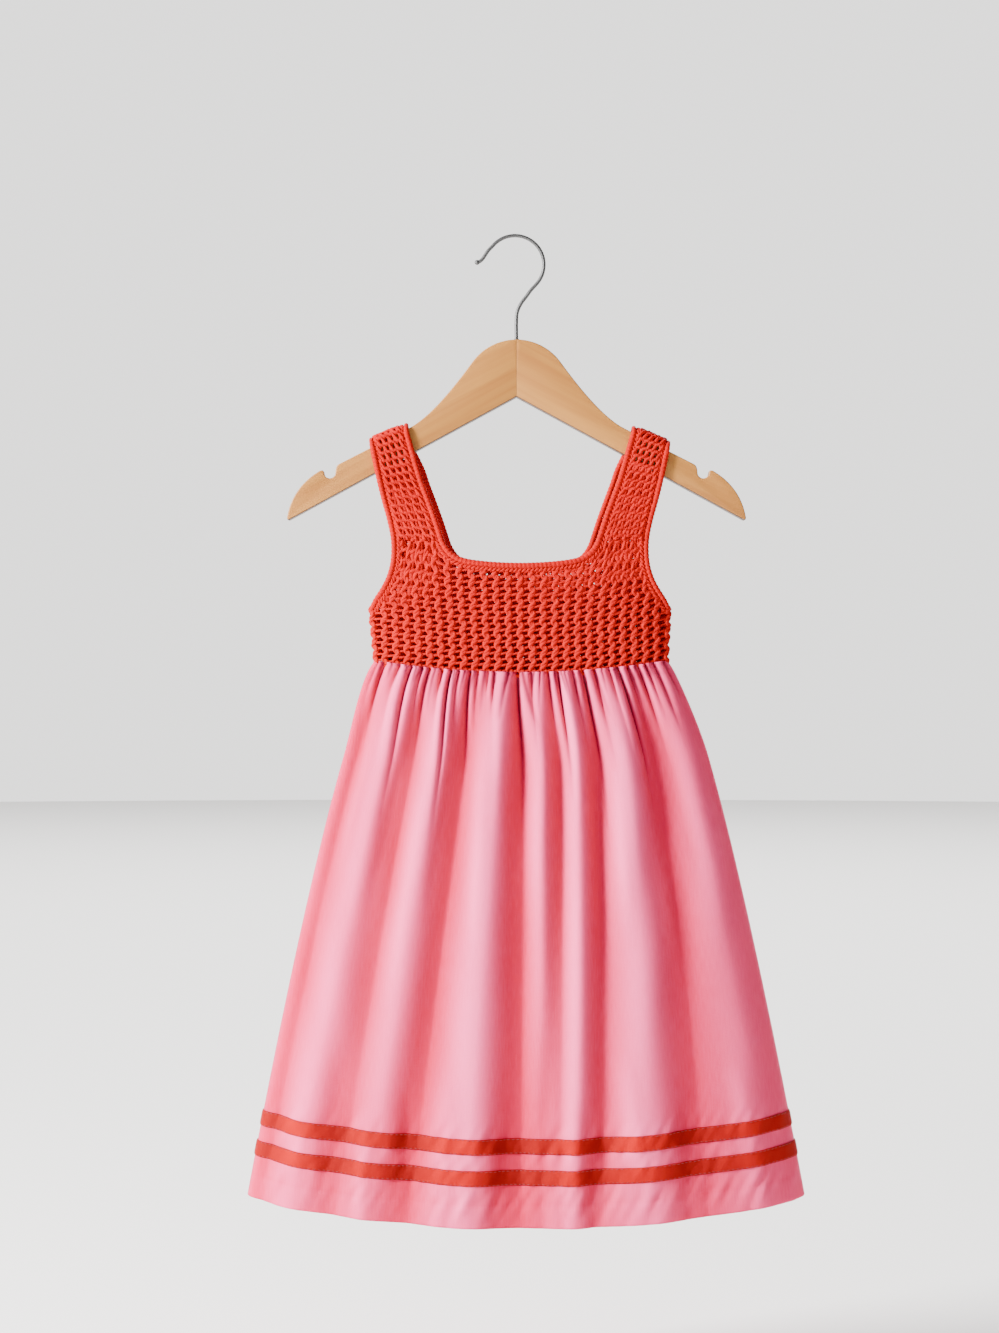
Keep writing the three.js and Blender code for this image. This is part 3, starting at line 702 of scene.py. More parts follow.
def inYoke(face, wale, row):
    wale, row = yokePlace(face, wale, row)
    z = rowZ(wale, row)
    x = abs(waleX(wale, z))
    inset = crochet["edgingInset"]
    if abs(wale) > crochet["armholeWale"] + 0.2:
        return z < crochet["underarmRowZ"]
    if x < innerAt(face, dress["strapBaseZ"]) + inset - 1:
        return z < neckAt(face, min(1, x / dress["neckHalf"])) - inset + 0.1
    outer = outerAt(face, max(z, dress["underarmZ"])) - inset + 1.2
    return z < dress["strapBaseZ"] + 0.5 and (x < outer or z < crochet["armholeFullZ"])


def yokePlace(face, wale, row):
    # seen from in front at hip height, the back's stitches stand half a stitch over from the front's
    if face["sign"] < 0:
        return wale, row
    z = rowZ(wale, row)
    x = waleX(wale, z)
    spread = 2 * bodyDepth(face, x, z) / crochet["seenFrom"]
    high = spread * (z - crochet["seenZ"]) / (rowZ(wale, row + 0.5) - rowZ(wale, row - 0.5))
    wide = spread * (x - crochet["seenX"]) / (waleX(wale + 0.5, z) - waleX(wale - 0.5, z))
    return clamp(wale + 0.5 + wide, -crochet["sideWale"], crochet["sideWale"]), row + 0.5 + high


def yokeAt(face, wale, row):
    wale, row = yokePlace(face, wale, row)
    z = rowZ(wale, row)
    return onBody(face, waleX(wale, z), z)


def waleStrands(at, inside, wales, rowCount, part):
    # two strands cross once a row in each wale, over a thicker core
    steps, narrowest = crochet["stepsPerRow"], crochet["narrowest"]
    cores, loops = [], []
    for wale in wales:
        runs = {0: [], math.pi: [], "core": []}
        for k in range(rowCount * steps + 1):
            row = k / steps
            if not inside(wale, row):
                continue
            place, normal = at(wale, row)
            gap = at(wale + 0.25, row)[0] - at(wale - 0.25, row)[0]
            size = clamp(gap.length * 2 / crochet["pitch"], narrowest, 1)
            wide = (size - narrowest) / (1 - narrowest)
            side = gap.normalized()
            phase = math.pi * row
            sway = part["sway"] * math.cos(phase) * size
            for turn in (0, math.pi):
                seed = Vector((wale * 1.7 + place.y, row * 0.9, turn))
                sideways = size * crochet["reach"] * math.sin(phase + turn) + sway
                sideways += crochet["uneven"] * noise.noise(seed)
                out = crochet["cross"] * math.cos(phase + turn) + crochet["uneven"] * noise.noise(seed * 1.3)
                fat = mix(crochet["slimmest"], 1, wide) * (1 + crochet["fatUneven"] * noise.noise(seed * 2))
                runs[turn].append((*(place + side * sideways + normal * out), fat))
            if k % 2 == 0:
                core = place + side * sway - normal * crochet["coreIn"] * size
                runs["core"].append((*core, mix(part["least"], 1, wide)))
        loops += [run for run in (runs[0], runs[math.pi]) if len(run) > 3]
        cores += [runs["core"]] if len(runs["core"]) > 2 else []
    return cores, loops


def barStrands(at, inside, ends, rowCount, widened):
    # one strand runs across each row, behind the crossing strands and over the gaps between wales
    bars = []
    for rowIndex in range(rowCount):
        run = []
        for k in range(round((ends[1] - ends[0]) * 4) + 1):
            wale = ends[0] + k / 4
            row = rowIndex + 0.5
            if not inside(wale, row):
                if len(run) > 4:
                    bars.append(run)
                run = []
                continue
            quarter = round(wale * 4) % 4
            out = crochet["barOut"][quarter]
            slant = crochet["barSlant"] * crochet["barWay"][quarter] / crochet["rowPitch"]
            seed = Vector((wale * 0.8, row * 1.9, 5))
            place, normal = at(wale, row + slant + crochet["barUneven"] * noise.noise(seed))
            spread = (at(wale, row + 0.5)[0] - at(wale, row - 0.5)[0]).length / crochet["rowPitch"]
            fat = clamp(spread, 1, crochet["barWidest"]) if widened else 1
            fat *= 1 + crochet["barFatUneven"] * noise.noise(seed * 1.7)
            run.append((*(place + normal * out), fat))
        if len(run) > 4:
            bars.append(run)
    return bars


def addCurve(bm, curve):
    # the curve's tube becomes mesh, and the curve itself goes
    maker = bpy.data.objects.new(curve.name, curve)
    mesh = bpy.data.meshes.new_from_object(maker)
    bm.from_mesh(mesh)
    bpy.data.objects.remove(maker)
    bpy.data.meshes.remove(mesh)
    bpy.data.curves.remove(curve)


def yarnPiece(name, groups, material):
    # groups gives lists of strands, each with its yarn radius and whether its ends join
    joined = bmesh.new()
    for strands, radius, closed in groups:
        curve = bpy.data.curves.new(name, "CURVE")
        curve.dimensions = "3D"
        curve.bevel_depth = radius * mm
        curve.bevel_resolution = 1
        curve.use_fill_caps = not closed
        for strand in strands:
            spline = curve.splines.new("POLY")
            spline.points.add(len(strand) - 1)
            for point, place in zip(spline.points, strand):
                x, y, z = place[:3]
                point.co = (x * mm, y * mm, z * mm, 1)
                point.radius = place[3] if len(place) > 3 else 1
            spline.use_cyclic_u = closed
        addCurve(joined, curve)
    bmesh.ops.remove_doubles(joined, verts=joined.verts, dist=1e-7)
    return meshObject(name, joined, material)


def groundAndLoops(name, ground, loops, bars, barYarn, material):
    # the core strands are the ground of the fabric, and the rest lies on them
    obj = yarnPiece(f"{name}_crochet", ground, material)
    top = yarnPiece(f"{name}_loops", [(loops, crochet["yarn"], False), (bars, barYarn, False)], material)
    fit(obj, name)
    fit(top)
    return obj, top


def makeYoke(side, material):
    face, part, last = faces[side], crochet["parts"][side], crochet["sideWale"]
    shift = 0.5 if face["sign"] > 0 else 0
    wales = range(-last, last + 1 - round(shift * 2))

    def at(wale, row):
        return yokeAt(face, wale, row)

    def inside(wale, row):
        return inYoke(face, wale, row)

    cores, loops = waleStrands(at, inside, wales, crochet["rows"], part)
    bars = barStrands(at, inside, (-last - shift, last - shift), crochet["rows"], widened=True)
    waist = []
    for k in range(-5 * last, 5 * last + 1):
        z = rowZ(k / 5, crochet["waistRow"])
        waist.append(onBody(face, waleX(k / 5, dress["waistSideZ"]), z, -crochet["waistIn"])[0])
    ground = [(cores, part["core"], False), ([waist], part["waist"], False)]
    return groundAndLoops(f"yoke_{side}", ground, loops, bars, part["bar"], material)


def overHanger(side, pick, fromZ, out=0.0):
    # up the front, over the hanger's arm in a rounded turn, and down the back
    topZ = dress["overHangerZ"]
    crestX = pick(faces["front"], topZ)
    alongArm = abs(crestX + (dress["yokeX"] - dress["hangerX"]) * side)
    turn = dress["strapRestY"] + out
    arcZ = dress["strapTopZ"] - dress["strapTopSlope"] * (alongArm - dress["strapTopX"]) + out - turn
    line = []
    for i in range(24):
        z = mix(fromZ, arcZ, i / 23)
        line.append(onBody(faces["front"], side * pick(faces["front"], z), z, out))
    for degrees in range(12, 169, 6):
        angle = math.radians(degrees)
        y = -math.copysign(math.sqrt(abs(math.cos(angle))), math.cos(angle)) * turn
        z = arcZ + math.sqrt(math.sin(angle)) * turn
        x = dress["yokeX"] + side * pick(faces["front"], min(z, topZ))
        line.append((Vector((x, y, z)), Vector((0, -math.cos(angle), math.sin(angle)))))
    for i in range(24):
        z = mix(arcZ, fromZ, i / 23)
        line.append(onBody(faces["back"], side * pick(faces["back"], z), z, out))
    return line


class Path:
    # A line of points and normals that can be read at any share of its length.
    def __init__(self, line, closed=False):
        self.line = line + line[:1] if closed else line
        self.marks = [0.0]
        for (a, _), (b, _) in zip(self.line, self.line[1:]):
            self.marks.append(self.marks[-1] + (b - a).length)
        self.length = self.marks[-1]

    def at(self, share):
        target = clamp(share) * self.length
        low, high = 0, len(self.marks) - 1
        while high - low > 1:
            middle = (low + high) // 2
            low, high = (middle, high) if self.marks[middle] <= target else (low, middle)
        t = (target - self.marks[low]) / max(self.marks[high] - self.marks[low], 1e-9)
        (p, n), (q, m) = self.line[low], self.line[high]
        return p.lerp(q, t), n.lerp(m, t).normalized()


strap = {
    "out": 0.9, "overTop": 0.6, "downBack": 0.28, "overTopAt": (0.4, 0.52), "downBackAt": (0.62, 0.76),
    "endOfRow": 0.27,
}


def makeStrap(name, side, material):
    inset, part = crochet["edgingInset"], crochet["parts"]["strap"]
    count = crochet["strapWales"] - crochet["middleWales"]

    def pathOf(wale):
        def pick(face, z):
            return mix(innerAt(face, z) + inset, outerAt(face, z) - inset, wale / count)

        return Path(overHanger(side, pick, dress["strapBaseZ"], strap["out"]))

    paths = {k: pathOf(k / 4) for k in range(-1, count * 4 + 5)}

    def strapAt(wale, row):
        share = row / rows
        # over the hanger the stitches move half a stitch over, less where the back strap lies further in
        over = mix(strap["overTop"], strap["downBack"], ease(share, *strap["downBackAt"]))
        quarter = (wale + ease(share, *strap["overTopAt"]) * over) * 4
        low = math.floor(quarter)
        (p, n), (q, m) = paths[low].at(share), paths[low + 1].at(share)
        return p.lerp(q, quarter - low), n.lerp(m, quarter - low).normalized()

    rowCount = round(paths[2 * count].length / crochet["strapRowPitch"])
    # a little less than a whole number, so that the back's holes lie half a row off the front's
    rows = rowCount - strap["endOfRow"]

    def inside(wale, row):
        return True

    cores, loops = waleStrands(strapAt, inside, range(count + 1), rowCount, part)
    bars = barStrands(strapAt, inside, (0, count), rowCount, widened=False)
    ground = [(cores, part["core"], False)]
    return groundAndLoops(f"strap_{name}", ground, loops, bars, part["bar"], material)


def insetLine(points, inset):
    moved = []
    for i, (x, z) in enumerate(points):
        (x0, z0), (x1, z1) = points[max(i - 1, 0)], points[min(i + 1, len(points) - 1)]
        length = math.hypot(x1 - x0, z1 - z0)
        moved.append((x - (z1 - z0) / length * inset, z + (x1 - x0) / length * inset))
    return moved


def smoothLoop(line, step, rounds):
    path = Path(line, closed=True)
    count = round(path.length / step)
    points = [path.at(i / count) for i in range(count)]
    for _ in range(rounds):
        points = [
            ((points[i - 1][0] + p + points[(i + 1) % count][0]) / 3,
             (points[i - 1][1] + n + points[(i + 1) % count][1]).normalized())
            for i, (p, n) in enumerate(points)
        ]
    return points


def neckLoop(inset, out):
    def half(face, side):
        base = innerAt(face, dress["strapBaseZ"])
        shares = [math.sin(i / 24 * math.pi / 2) for i in range(25)]
        points = insetLine([(share * base, neckAt(face, share)) for share in shares], -inset)[:-1]
        return [onBody(face, side * x, z, out) for x, z in points]

    def over(side):
        return overHanger(side, lambda face, z: innerAt(face, z) + inset, dress["strapBaseZ"], out)

    front, back = faces["front"], faces["back"]
    return (
        half(front, 1) + over(1) + half(back, 1)[::-1]
        + half(back, -1)[1:] + over(-1)[::-1] + half(front, -1)[::-1][:-1]
    )


def armholeLoop(side, inset, out):
    def curve(face):
        heights = [mix(dress["underarmZ"], dress["strapBaseZ"], i / 20) for i in range(21)]
        points = insetLine([(outerAt(face, z), z) for z in heights], inset)[:-1]
        return [onBody(face, side * x, z, out) for x, z in points]

    over = overHanger(side, lambda face, z: outerAt(face, z) - inset, dress["strapBaseZ"], out)
    sideX = dress["yokeX"] + side * (dress["underarmHalf"] - 0.6)
    under = (Vector((sideX, 0, dress["underarmZ"] - inset + 0.5)), Vector((side, 0, 0)))
    return curve(faces["front"]) + over + curve(faces["back"])[::-1] + [under]


# Each edging is a rolled ridge, a two-strand cord inside it, and posts that join the cord to the fabric
edging = {
    "pitch": 2.75, "steps": 5, "rounds": 5, "ridge": 2.1, "ridgeInset": 1.95, "ridgeOut": 0.25,
    "cord": 0.92, "cordInset": 4.9, "cordOut": 0.3, "twistOut": 0.55, "twistWide": 0.75,
    "post": 0.72, "postInset": 0.5, "postIn": 0.1, "thinOverTop": 0.35, "ripple": 0.07,
}


def makeEdging(name, loopAt, material):
    steps, rounds = edging["steps"], edging["rounds"]
    step = edging["pitch"] / steps
    ridge = []
    for i, (p, n) in enumerate(smoothLoop(loopAt(edging["ridgeInset"], edging["ridgeOut"]), step, rounds)):
        wave = 1 + edging["ripple"] * math.cos(2 * math.pi * i / steps)
        ridge.append((*p, (1 - edging["thinOverTop"] * max(0, n.z)) * wave))
    cordLine = smoothLoop(loopAt(edging["cordInset"], edging["cordOut"]), step, rounds)
    count = len(cordLine)
    turns = round(count * step / (2 * edging["pitch"]))
    cords = []
    for start in (0, math.pi):
        run = []
        for i, (p, n) in enumerate(cordLine):
            along = (cordLine[(i + 1) % count][0] - cordLine[i - 1][0]).normalized()
            angle = start + 2 * math.pi * turns * i / count
            outward = n * math.cos(angle) * edging["twistOut"]
            run.append(p + outward + n.cross(along) * math.sin(angle) * edging["twistWide"])
        cords.append(run)
    inner = smoothLoop(loopAt(crochet["edgingInset"] + edging["postInset"], -edging["postIn"]), step, rounds)
    posts = []
    for i in range(0, count, steps):
        p, n = cordLine[i]
        q = min((place for place, _ in inner), key=lambda other: (other - p).length_squared)
        along = (cordLine[(i + 1) % count][0] - cordLine[i - 1][0]).normalized()
        posts.append([p - n * 0.2, p.lerp(q, 0.4) + n * 0.35 + along * 0.5, q + along * 1.1])
    obj = yarnPiece(
        f"{name}_crochet",
        [([ridge], edging["ridge"], True), (cords, edging["cord"], True), (posts, edging["post"], False)],
        material,
    )
    fit(obj, name)
    return obj


# The hanger, in millimetres: crown, arms with a notch, and one joint in the middle
hanger = {
    "thickness": 12, "joint": 0.03, "groove": 0.3, "rounding": 1.5, "sharpDegrees": 32,
    "crownZ": -67.3, "crownRadius": 35.5, "crownDegrees": 54,
    "undersidePeakZ": -104.8, "armZ": -125.1, "armX": 70, "armSlope": 0.514,
    "notchX": 122, "notchZ": -154.2, "notchRadius": 3.8,
    "tipX": 150, "tipZ": -185.2, "tipInX": 148.3, "tipOutX": 149.9,
}


def bezier(a, control, b, count):
    points = []
    for i in range(1, count + 1):
        t = i / count
        points.append(tuple(
            (1 - t) ** 2 * p + 2 * t * (1 - t) * q + t * t * r for p, q, r in zip(a, control, b)
        ))
    return points


def hangerOutline():
    h = hanger

    def armAt(x):
        return h["armZ"] - h["armSlope"] * (x - h["armX"])

    crownCentre = h["crownZ"] - h["crownRadius"]
    angle = math.radians(h["crownDegrees"])
    crownEnd = (h["crownRadius"] * math.sin(angle), crownCentre + h["crownRadius"] * math.cos(angle))
    bendX = (h["armZ"] + h["armSlope"] * h["armX"] - crownEnd[1] - math.tan(angle) * crownEnd[0]) / (
        h["armSlope"] - math.tan(angle)
    )
    bend = (bendX, armAt(bendX))
    # from the underside's peak out to the pointed tip, and back along the top to the notch
    outline = [(0, h["undersidePeakZ"]), (h["tipInX"], h["tipZ"] + 0.1)]
    outline += bezier(outline[-1], (149.8, h["tipZ"] - 0.5), (h["tipOutX"], h["tipZ"] + 1.5), 4)
    outline += bezier(outline[-1], (146.5, armAt(h["tipX"]) + 2.5), (128.3, -153), 12)
    notchOutX = h["notchX"] + h["notchRadius"]
    outline += bezier(outline[-1], (notchOutX, h["notchZ"] + 2), (notchOutX, h["notchZ"]), 4)
    for degrees in range(-15, -181, -15):
        a = math.radians(degrees)
        x = h["notchX"] + h["notchRadius"] * math.cos(a)
        outline.append((x, h["notchZ"] + h["notchRadius"] * math.sin(a)))
    left = h["notchX"] - h["notchRadius"]
    outline += bezier(outline[-1], (left, armAt(left) - 0.2), (left - 2.2, armAt(left - 2.2)), 4)
    outline.append((h["armX"], h["armZ"]))
    outline += bezier(outline[-1], bend, crownEnd, 14)
    for i in range(1, 13):
        a = angle * (1 - i / 12)
        outline.append((h["crownRadius"] * math.sin(a), crownCentre + h["crownRadius"] * math.cos(a)))
    return outline


def roundEdges(bm, edges, width, segments):
    bmesh.ops.bevel(
        bm, geom=edges, offset=width * mm, offset_type="OFFSET", segments=segments, profile=0.5,
        affect="EDGES", material=-1, clamp_overlap=True,
    )


def makeHangerHalf(name, side, faceMaterial, jointAndShadeMaterial):
    bm = bmesh.new()
    half = hanger["thickness"] / 2 * mm
    joint = (dress["hangerX"] + side * hanger["joint"]) * mm
    outline = hangerOutline()
    for end in (0, -1):
        outline[end] = (hanger["joint"], outline[end][1])
    face = bm.faces.new([
        bm.verts.new(((dress["hangerX"] + side * x) * mm, -half, z * mm)) for x, z in outline
    ])
    moved = bmesh.ops.extrude_face_region(bm, geom=[face])
    back = [item for item in moved["geom"] if isinstance(item, bmesh.types.BMVert)]
    bmesh.ops.translate(bm, verts=back, vec=(0, 2 * half, 0))
    bmesh.ops.recalc_face_normals(bm, faces=bm.faces)

    def atJoint(edge):
        # the edges of the front and back faces that lie along the joint
        return all(abs(v.co.x - joint) < 1e-6 and abs(abs(v.co.y) - half) < 1e-6 for v in edge.verts)

    flat = [e for e in bm.edges if abs(e.verts[0].co.y - e.verts[1].co.y) < 1e-6]
    roundEdges(bm, [e for e in flat if not atJoint(e)], hanger["rounding"], 5)
    roundEdges(bm, [e for e in bm.edges if atJoint(e)], hanger["groove"], 2)
    bm.normal_update()
    # the underside has painted shade in the darker wood, and the joint is a dark line in it too
    for f in bm.faces:
        x = side * (f.calc_center_median().x / mm - dress["hangerX"])
        f.material_index = 1 if f.normal.z < -0.3 or x < hanger["joint"] + hanger["groove"] else 0
    obj = meshObject(f"{name}_wood", bm, faceMaterial, jointAndShadeMaterial)
    obj.data.set_sharp_from_angle(angle=math.radians(hanger["sharpDegrees"]))
    fit(obj, name)
    return obj


# The hook's wire runs from its ball round the circle and down into the crown, through a ferrule
hook = {
    "wire": 1.2, "radius": 19, "centreZ": -17.8, "ball": 1.7, "sharpDegrees": 40,
    "end": [(-24.7, -16.3), (-23.2, -15.8), (-21.4, -14.3), (-19.8, -12.1), (-17.6, -8.8)],
    "neck": [(10.4, -34.6), (7.2, -39.0), (4.6, -42.4), (2.6, -45.9), (1.35, -49.6), (1, -53.5)],
    "rootZ": -89.5, "ferruleZ": -67, "ferrule": {"radius1": 0.002, "radius2": 0.0016, "depth": 0.0012},
}


def makeHook(material):
    line = list(hook["end"])
    for degrees in range(140, -43, -6):
        a = math.radians(degrees)
        line.append((hook["radius"] * math.cos(a), hook["centreZ"] + hook["radius"] * math.sin(a)))
    line += hook["neck"] + [(dress["hangerX"], hook["ferruleZ"]), (dress["hangerX"], hook["rootZ"])]
    curve = bpy.data.curves.new("hook", "CURVE")
    curve.dimensions = "3D"
    curve.bevel_depth = hook["wire"] * mm
    curve.bevel_resolution = 5
    curve.use_fill_caps = True
    spline = curve.splines.new("BEZIER")
    spline.bezier_points.add(len(line) - 1)
    spline.resolution_u = 4
    for point, (x, z) in zip(spline.bezier_points, line):
        point.co = (x * mm, 0, z * mm)
        point.handle_left_type = point.handle_right_type = "AUTO"
    bm = bmesh.new()
    addCurve(bm, curve)
    end = Vector((line[0][0] * mm, 0, line[0][1] * mm))
    bmesh.ops.create_uvsphere(
        bm, u_segments=24, v_segments=14, radius=hook["ball"] * mm, matrix=Matrix.Translation(end)
    )
    bmesh.ops.create_cone(
        bm, cap_ends=True, segments=24, **hook["ferrule"],
        matrix=Matrix.Translation((dress["hangerX"] * mm, 0, hook["ferruleZ"] * mm)),
    )
    obj = meshObject("hook_wire", bm, material)
    obj.data.set_sharp_from_angle(angle=math.radians(hook["sharpDegrees"]))
    fit(obj, "hook")
    return obj


print("shapes are defined")


def nodeOf(tree, kind, **settings):
    node = tree.nodes.new(kind)
    for key, value in settings.items():
        setattr(node, key, value)
    return node


def mathNode(tree, operation, a, b=None):
    node = nodeOf(tree, "ShaderNodeMath", operation=operation)
    for socket, value in zip(node.inputs, (a, b)):
        if value is None:
            continue
        if isinstance(value, bpy.types.NodeSocket):
            tree.links.new(value, socket)
        else:
            socket.default_value = value
    return node.outputs[0]


def groupWith(name, inputs, outputs):
    group = bpy.data.node_groups.new(name, "ShaderNodeTree")
    for label, kind, value in inputs:
        socket = group.interface.new_socket(label, in_out="INPUT", socket_type=kind)
        if value is not None:
            socket.default_value = value
    for label, kind in outputs:
        group.interface.new_socket(label, in_out="OUTPUT", socket_type=kind)
    return group, group.nodes.new("NodeGroupInput"), group.nodes.new("NodeGroupOutput")


def weaveGroup():
    # plain weave on the cloth's own UV map, in threads per metre, and long soft streaks in the yarn
    group, start, end = groupWith(
        "plainWeave",
        [("Vector", "NodeSocketVector", None), ("Threads", "NodeSocketFloat", 2200.0)],
        [("Height", "NodeSocketFloat"), ("Shade", "NodeSocketFloat")],
    )
    split = nodeOf(group, "ShaderNodeSeparateXYZ")
    group.links.new(start.outputs["Vector"], split.inputs[0])
    waves = []
    for axis, other in ((0, 1), (1, 0)):
        along = mathNode(group, "MULTIPLY", split.outputs[axis], start.outputs["Threads"])
        across = mathNode(group, "MULTIPLY", split.outputs[other], start.outputs["Threads"])
        wave = mathNode(group, "SINE", mathNode(group, "MULTIPLY", across, math.pi))
        thread = mathNode(group, "ABSOLUTE", wave)
        over = mathNode(group, "SINE", mathNode(group, "MULTIPLY", along, math.pi))
        waves.append(mathNode(group, "MULTIPLY", thread, mathNode(group, "ADD", over, 1.6)))
    height = mathNode(group, "MAXIMUM", *waves)
    group.links.new(height, end.inputs["Height"])
    drawn = nodeOf(group, "ShaderNodeMapping")
    drawn.inputs["Scale"].default_value = (900, 110, 1)
    group.links.new(start.outputs["Vector"], drawn.inputs["Vector"])
    slubs = nodeOf(group, "ShaderNodeTexNoise")
    slubs.inputs["Scale"].default_value = 1
    slubs.inputs["Detail"].default_value = 3
    group.links.new(drawn.outputs["Vector"], slubs.inputs["Vector"])
    group.links.new(slubs.outputs["Fac"], end.inputs["Shade"])
    return group


def fuzzGroup():
    # fine irregular fibres, on Object coordinates
    group, start, end = groupWith(
        "fibreFuzz",
        [("Scale", "NodeSocketFloat", 900.0)],
        [("Height", "NodeSocketFloat"), ("Shade", "NodeSocketFloat")],
    )
    coords = nodeOf(group, "ShaderNodeTexCoord")
    for name, share, detail in (("Height", 1, 4), ("Shade", 0.06, 2)):
        grain = nodeOf(group, "ShaderNodeTexNoise")
        grain.inputs["Detail"].default_value = detail
        group.links.new(mathNode(group, "MULTIPLY", start.outputs["Scale"], share), grain.inputs["Scale"])
        group.links.new(coords.outputs["Object"], grain.inputs["Vector"])
        group.links.new(grain.outputs["Fac"], end.inputs[name])
    return group


weave = weaveGroup()
fuzz = fuzzGroup()


def newMaterial(name, **sockets):
    material = bpy.data.materials.new(name)
    material.use_nodes = True
    shader = material.node_tree.nodes["Principled BSDF"]
    for key, value in sockets.items():
        shader.inputs[key.replace("_", " ")].default_value = value
    return material, material.node_tree, shader


def colourBetween(tree, factor, dark, light, target):
    blend = nodeOf(tree, "ShaderNodeMix", data_type="RGBA")
    blend.inputs["A"].default_value = dark
    blend.inputs["B"].default_value = light
    tree.links.new(factor, blend.inputs["Factor"])
    tree.links.new(blend.outputs["Result"], target)


def bumpFrom(tree, height, distance, strength, shader):
    bump = nodeOf(tree, "ShaderNodeBump")
    bump.inputs["Distance"].default_value = distance
    bump.inputs["Strength"].default_value = strength
    tree.links.new(height, bump.inputs["Height"])
    tree.links.new(bump.outputs["Normal"], shader.inputs["Normal"])


def clothMaterial(name, deep, pale, sheen, bumpStrength):
    # painted shade makes the colour deeper in the folds, and painted light paler on their crests and on the
    # sides turned to the window light
    material, tree, shader = newMaterial(
        name, Roughness=0.72, Specular_IOR_Level=0.1,
        Sheen_Weight=sheen, Sheen_Roughness=0.45, Sheen_Tint=(1, 0.5, 0.66, 1),
        Subsurface_Weight=0.15, Subsurface_Radius=(1, 0.12, 0.2), Subsurface_Scale=0.004,
    )
    uv = nodeOf(tree, "ShaderNodeUVMap", uv_map="UVMap")
    threads = nodeOf(tree, "ShaderNodeGroup", node_tree=weave)
    tree.links.new(uv.outputs["UV"], threads.inputs["Vector"])
    paintedLightAndShade = nodeOf(tree, "ShaderNodeAttribute", attribute_name="paintedLightAndShade")
    slubs = mathNode(tree, "MULTIPLY", mathNode(tree, "SUBTRACT", threads.outputs["Shade"], 0.5), 0.26)
    shade = mathNode(tree, "ADD", mathNode(tree, "POWER", paintedLightAndShade.outputs["Fac"], 2.0), slubs)
    # painted shade in the tucks and gathers darkens the colour further
    tucks = nodeOf(tree, "ShaderNodeAttribute", attribute_name="tuck")
    paintedTuckShade = nodeOf(tree, "ShaderNodeMix", data_type="RGBA")
    paintedTuckShade.inputs["B"].default_value = (deep[0] * 0.3, deep[1] * 0.5, deep[2] * 0.4, 1)
    tree.links.new(tucks.outputs["Fac"], paintedTuckShade.inputs["Factor"])
    colourBetween(tree, shade, deep, pale, paintedTuckShade.inputs["A"])
    tree.links.new(paintedTuckShade.outputs["Result"], shader.inputs["Base Color"])
    bumpFrom(tree, threads.outputs["Height"], 0.00012, bumpStrength, shader)
    return material


def yarnMaterial(name, dark, light):
    material, tree, shader = newMaterial(name, Roughness=0.66, Specular_IOR_Level=0.08)
    fibres = nodeOf(tree, "ShaderNodeGroup", node_tree=fuzz)
    fibres.inputs["Scale"].default_value = 2600
    colourBetween(tree, fibres.outputs["Shade"], dark, light, shader.inputs["Base Color"])
    bumpFrom(tree, fibres.outputs["Height"], 0.0002, 0.6, shader)
    return material


def woodMaterial(name, side, dark, light):
    # the grain runs along the arm
    material, tree, shader = newMaterial(name, Roughness=0.48, Specular_IOR_Level=0.4)
    coords = nodeOf(tree, "ShaderNodeTexCoord")
    place = nodeOf(tree, "ShaderNodeMapping")
    place.vector_type = "TEXTURE"
    place.inputs["Rotation"].default_value = (0, side * math.radians(27.5), 0)
    place.inputs["Scale"].default_value = (0.14, 0.02, 0.0066)
    grain = nodeOf(tree, "ShaderNodeTexNoise")
    grain.inputs["Scale"].default_value = 1
    grain.inputs["Detail"].default_value = 5
    grain.inputs["Distortion"].default_value = 0.6
    tree.links.new(coords.outputs["Object"], place.inputs["Vector"])
    tree.links.new(place.outputs["Vector"], grain.inputs["Vector"])
    tone = nodeOf(tree, "ShaderNodeMapRange")
    tone.inputs["From Min"].default_value = 0.32
    tone.inputs["From Max"].default_value = 0.7
    tree.links.new(grain.outputs["Fac"], tone.inputs["Value"])
    colourBetween(tree, tone.outputs["Result"], dark, light, shader.inputs["Base Color"])
    bumpFrom(tree, grain.outputs["Fac"], 0.0004, 0.12, shader)
    return material


crochetYarn = yarnMaterial("redYarn", (0.33, 0.0007, 0.0004, 1), (0.47, 0.0015, 0.0008, 1))
# deep is the painted shade in the folds and pale the painted light on the crests
skirtCloth = clothMaterial("pinkCloth", (0.58, 0.002, 0.05, 1), (1.0, 0.115, 0.3, 1), 0.12, 0.5)
bandCloth = clothMaterial("redBand", (0.22, 0.0006, 0.0004, 1), (0.44, 0.0015, 0.0008, 1), 0, 0.4)
stitchThread, _, _ = newMaterial("stitchThread", Roughness=0.7, Base_Color=(0.2, 0.012, 0.02, 1))
steel, _, _ = newMaterial("steel", Roughness=0.5, Metallic=1, Base_Color=(0.1, 0.1, 0.1, 1))
print("materials are made")


made = {}
hands = (("left", 1), ("right", -1))
for side in ("front", "back"):
    made[f"skirt_{side}"] = makeSkirt(side, skirtCloth)
    for level in ("upper", "lower"):
        made[f"band_{level}_{side}"] = makeBand(level, side, bandCloth)
        made[f"band_{level}_{side}_stitches"] = makeStitches(level, side, stitchThread)
    print(side, "skirt panel and bands are made")

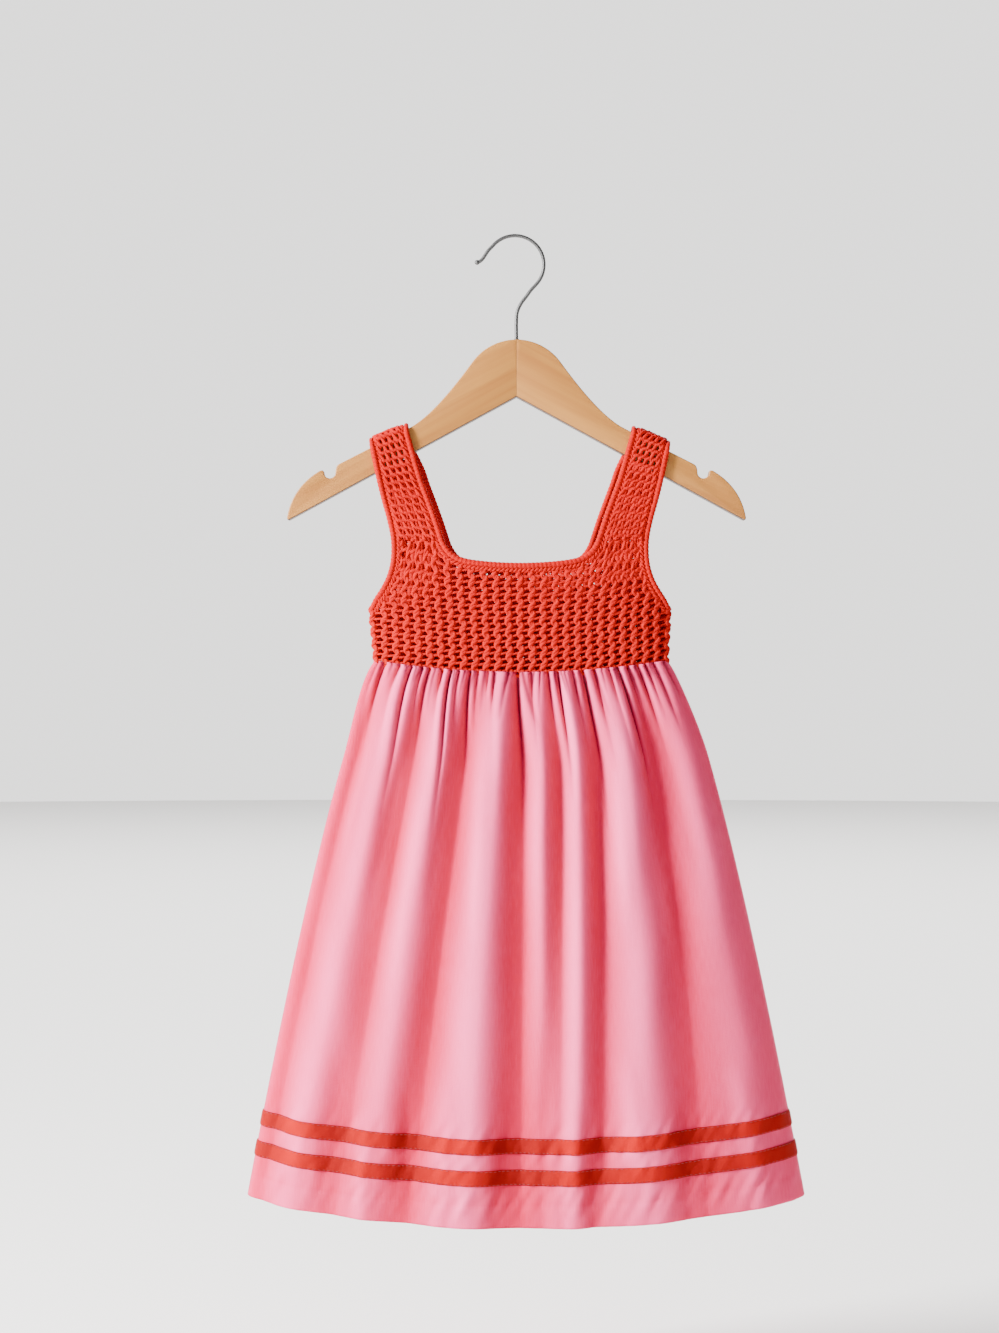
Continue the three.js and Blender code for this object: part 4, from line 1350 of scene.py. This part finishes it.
for name, side in hands:
    made[f"strap_{name}"], made[f"strap_{name}_loops"] = makeStrap(name, side, crochetYarn)
for side in ("front", "back"):
    made[f"yoke_{side}"], made[f"yoke_{side}_loops"] = makeYoke(side, crochetYarn)
print("yoke and straps are made")

made["neck_edging"] = makeEdging("neck_edging", neckLoop, crochetYarn)
for name, side in hands:
    made[f"armhole_edging_{name}"] = makeEdging(
        f"armhole_edging_{name}", lambda inset, out: armholeLoop(side, inset, out), crochetYarn
    )
print("edgings are made")

# painted shade makes the underside darker than the faces, and the joint is a dark line
for name, side in hands:
    faceWood = woodMaterial(f"{name}Beech", side, (0.3, 0.112, 0.017, 1), (0.4, 0.172, 0.029, 1))
    jointAndShadeWood = woodMaterial(f"{name}BeechJointAndShade", side, (0.05, 0.019, 0.006, 1), (0.08, 0.032, 0.009, 1))
    makeHangerHalf(f"hanger_{name}", side, faceWood, jointAndShadeWood)
makeHook(steel)
print("hanger and hook are made")

# Each sheet's flat cut in metres, what it hangs from, and what is worked on it
straps = ("strap_left", "strap_right")
cuts = table(
    "piece flat area held restsOn carries",
    ("yoke_front", (0.197, 0.085), 0.0142, "hung", straps, ("yoke_front_loops", "neck_edging")),
    ("yoke_back", (0.197, 0.083), 0.0138, "hung", straps, ("yoke_back_loops",)),
    ("strap_left", (0.025, 0.155), 0.0036, "hung", (), ("strap_left_loops", "armhole_edging_left")),
    ("strap_right", (0.025, 0.155), 0.0036, "hung", (), ("strap_right_loops", "armhole_edging_right")),
    ("skirt_front", (0.44, 0.392), 0.151, "gathered", ("yoke_front",), ()),
    ("skirt_back", (0.44, 0.392), 0.151, "gathered", ("yoke_back",), ()),
    ("band_upper_front", (0.41, 0.01), None, "gathered", ("skirt_front",), ("band_upper_front_stitches",)),
    ("band_lower_front", (0.42, 0.01), None, "gathered", ("skirt_front",), ("band_lower_front_stitches",)),
    ("band_upper_back", (0.41, 0.01), None, "gathered", ("skirt_back",), ("band_upper_back_stitches",)),
    ("band_lower_back", (0.42, 0.01), None, "gathered", ("skirt_back",), ("band_lower_back_stitches",)),
)
for cut in cuts:
    rests = [made[name].name for name in cut["restsOn"]] or ["hanger_left_wood", "hanger_right_wood"]
    [made[name] for name in cut["carries"]]
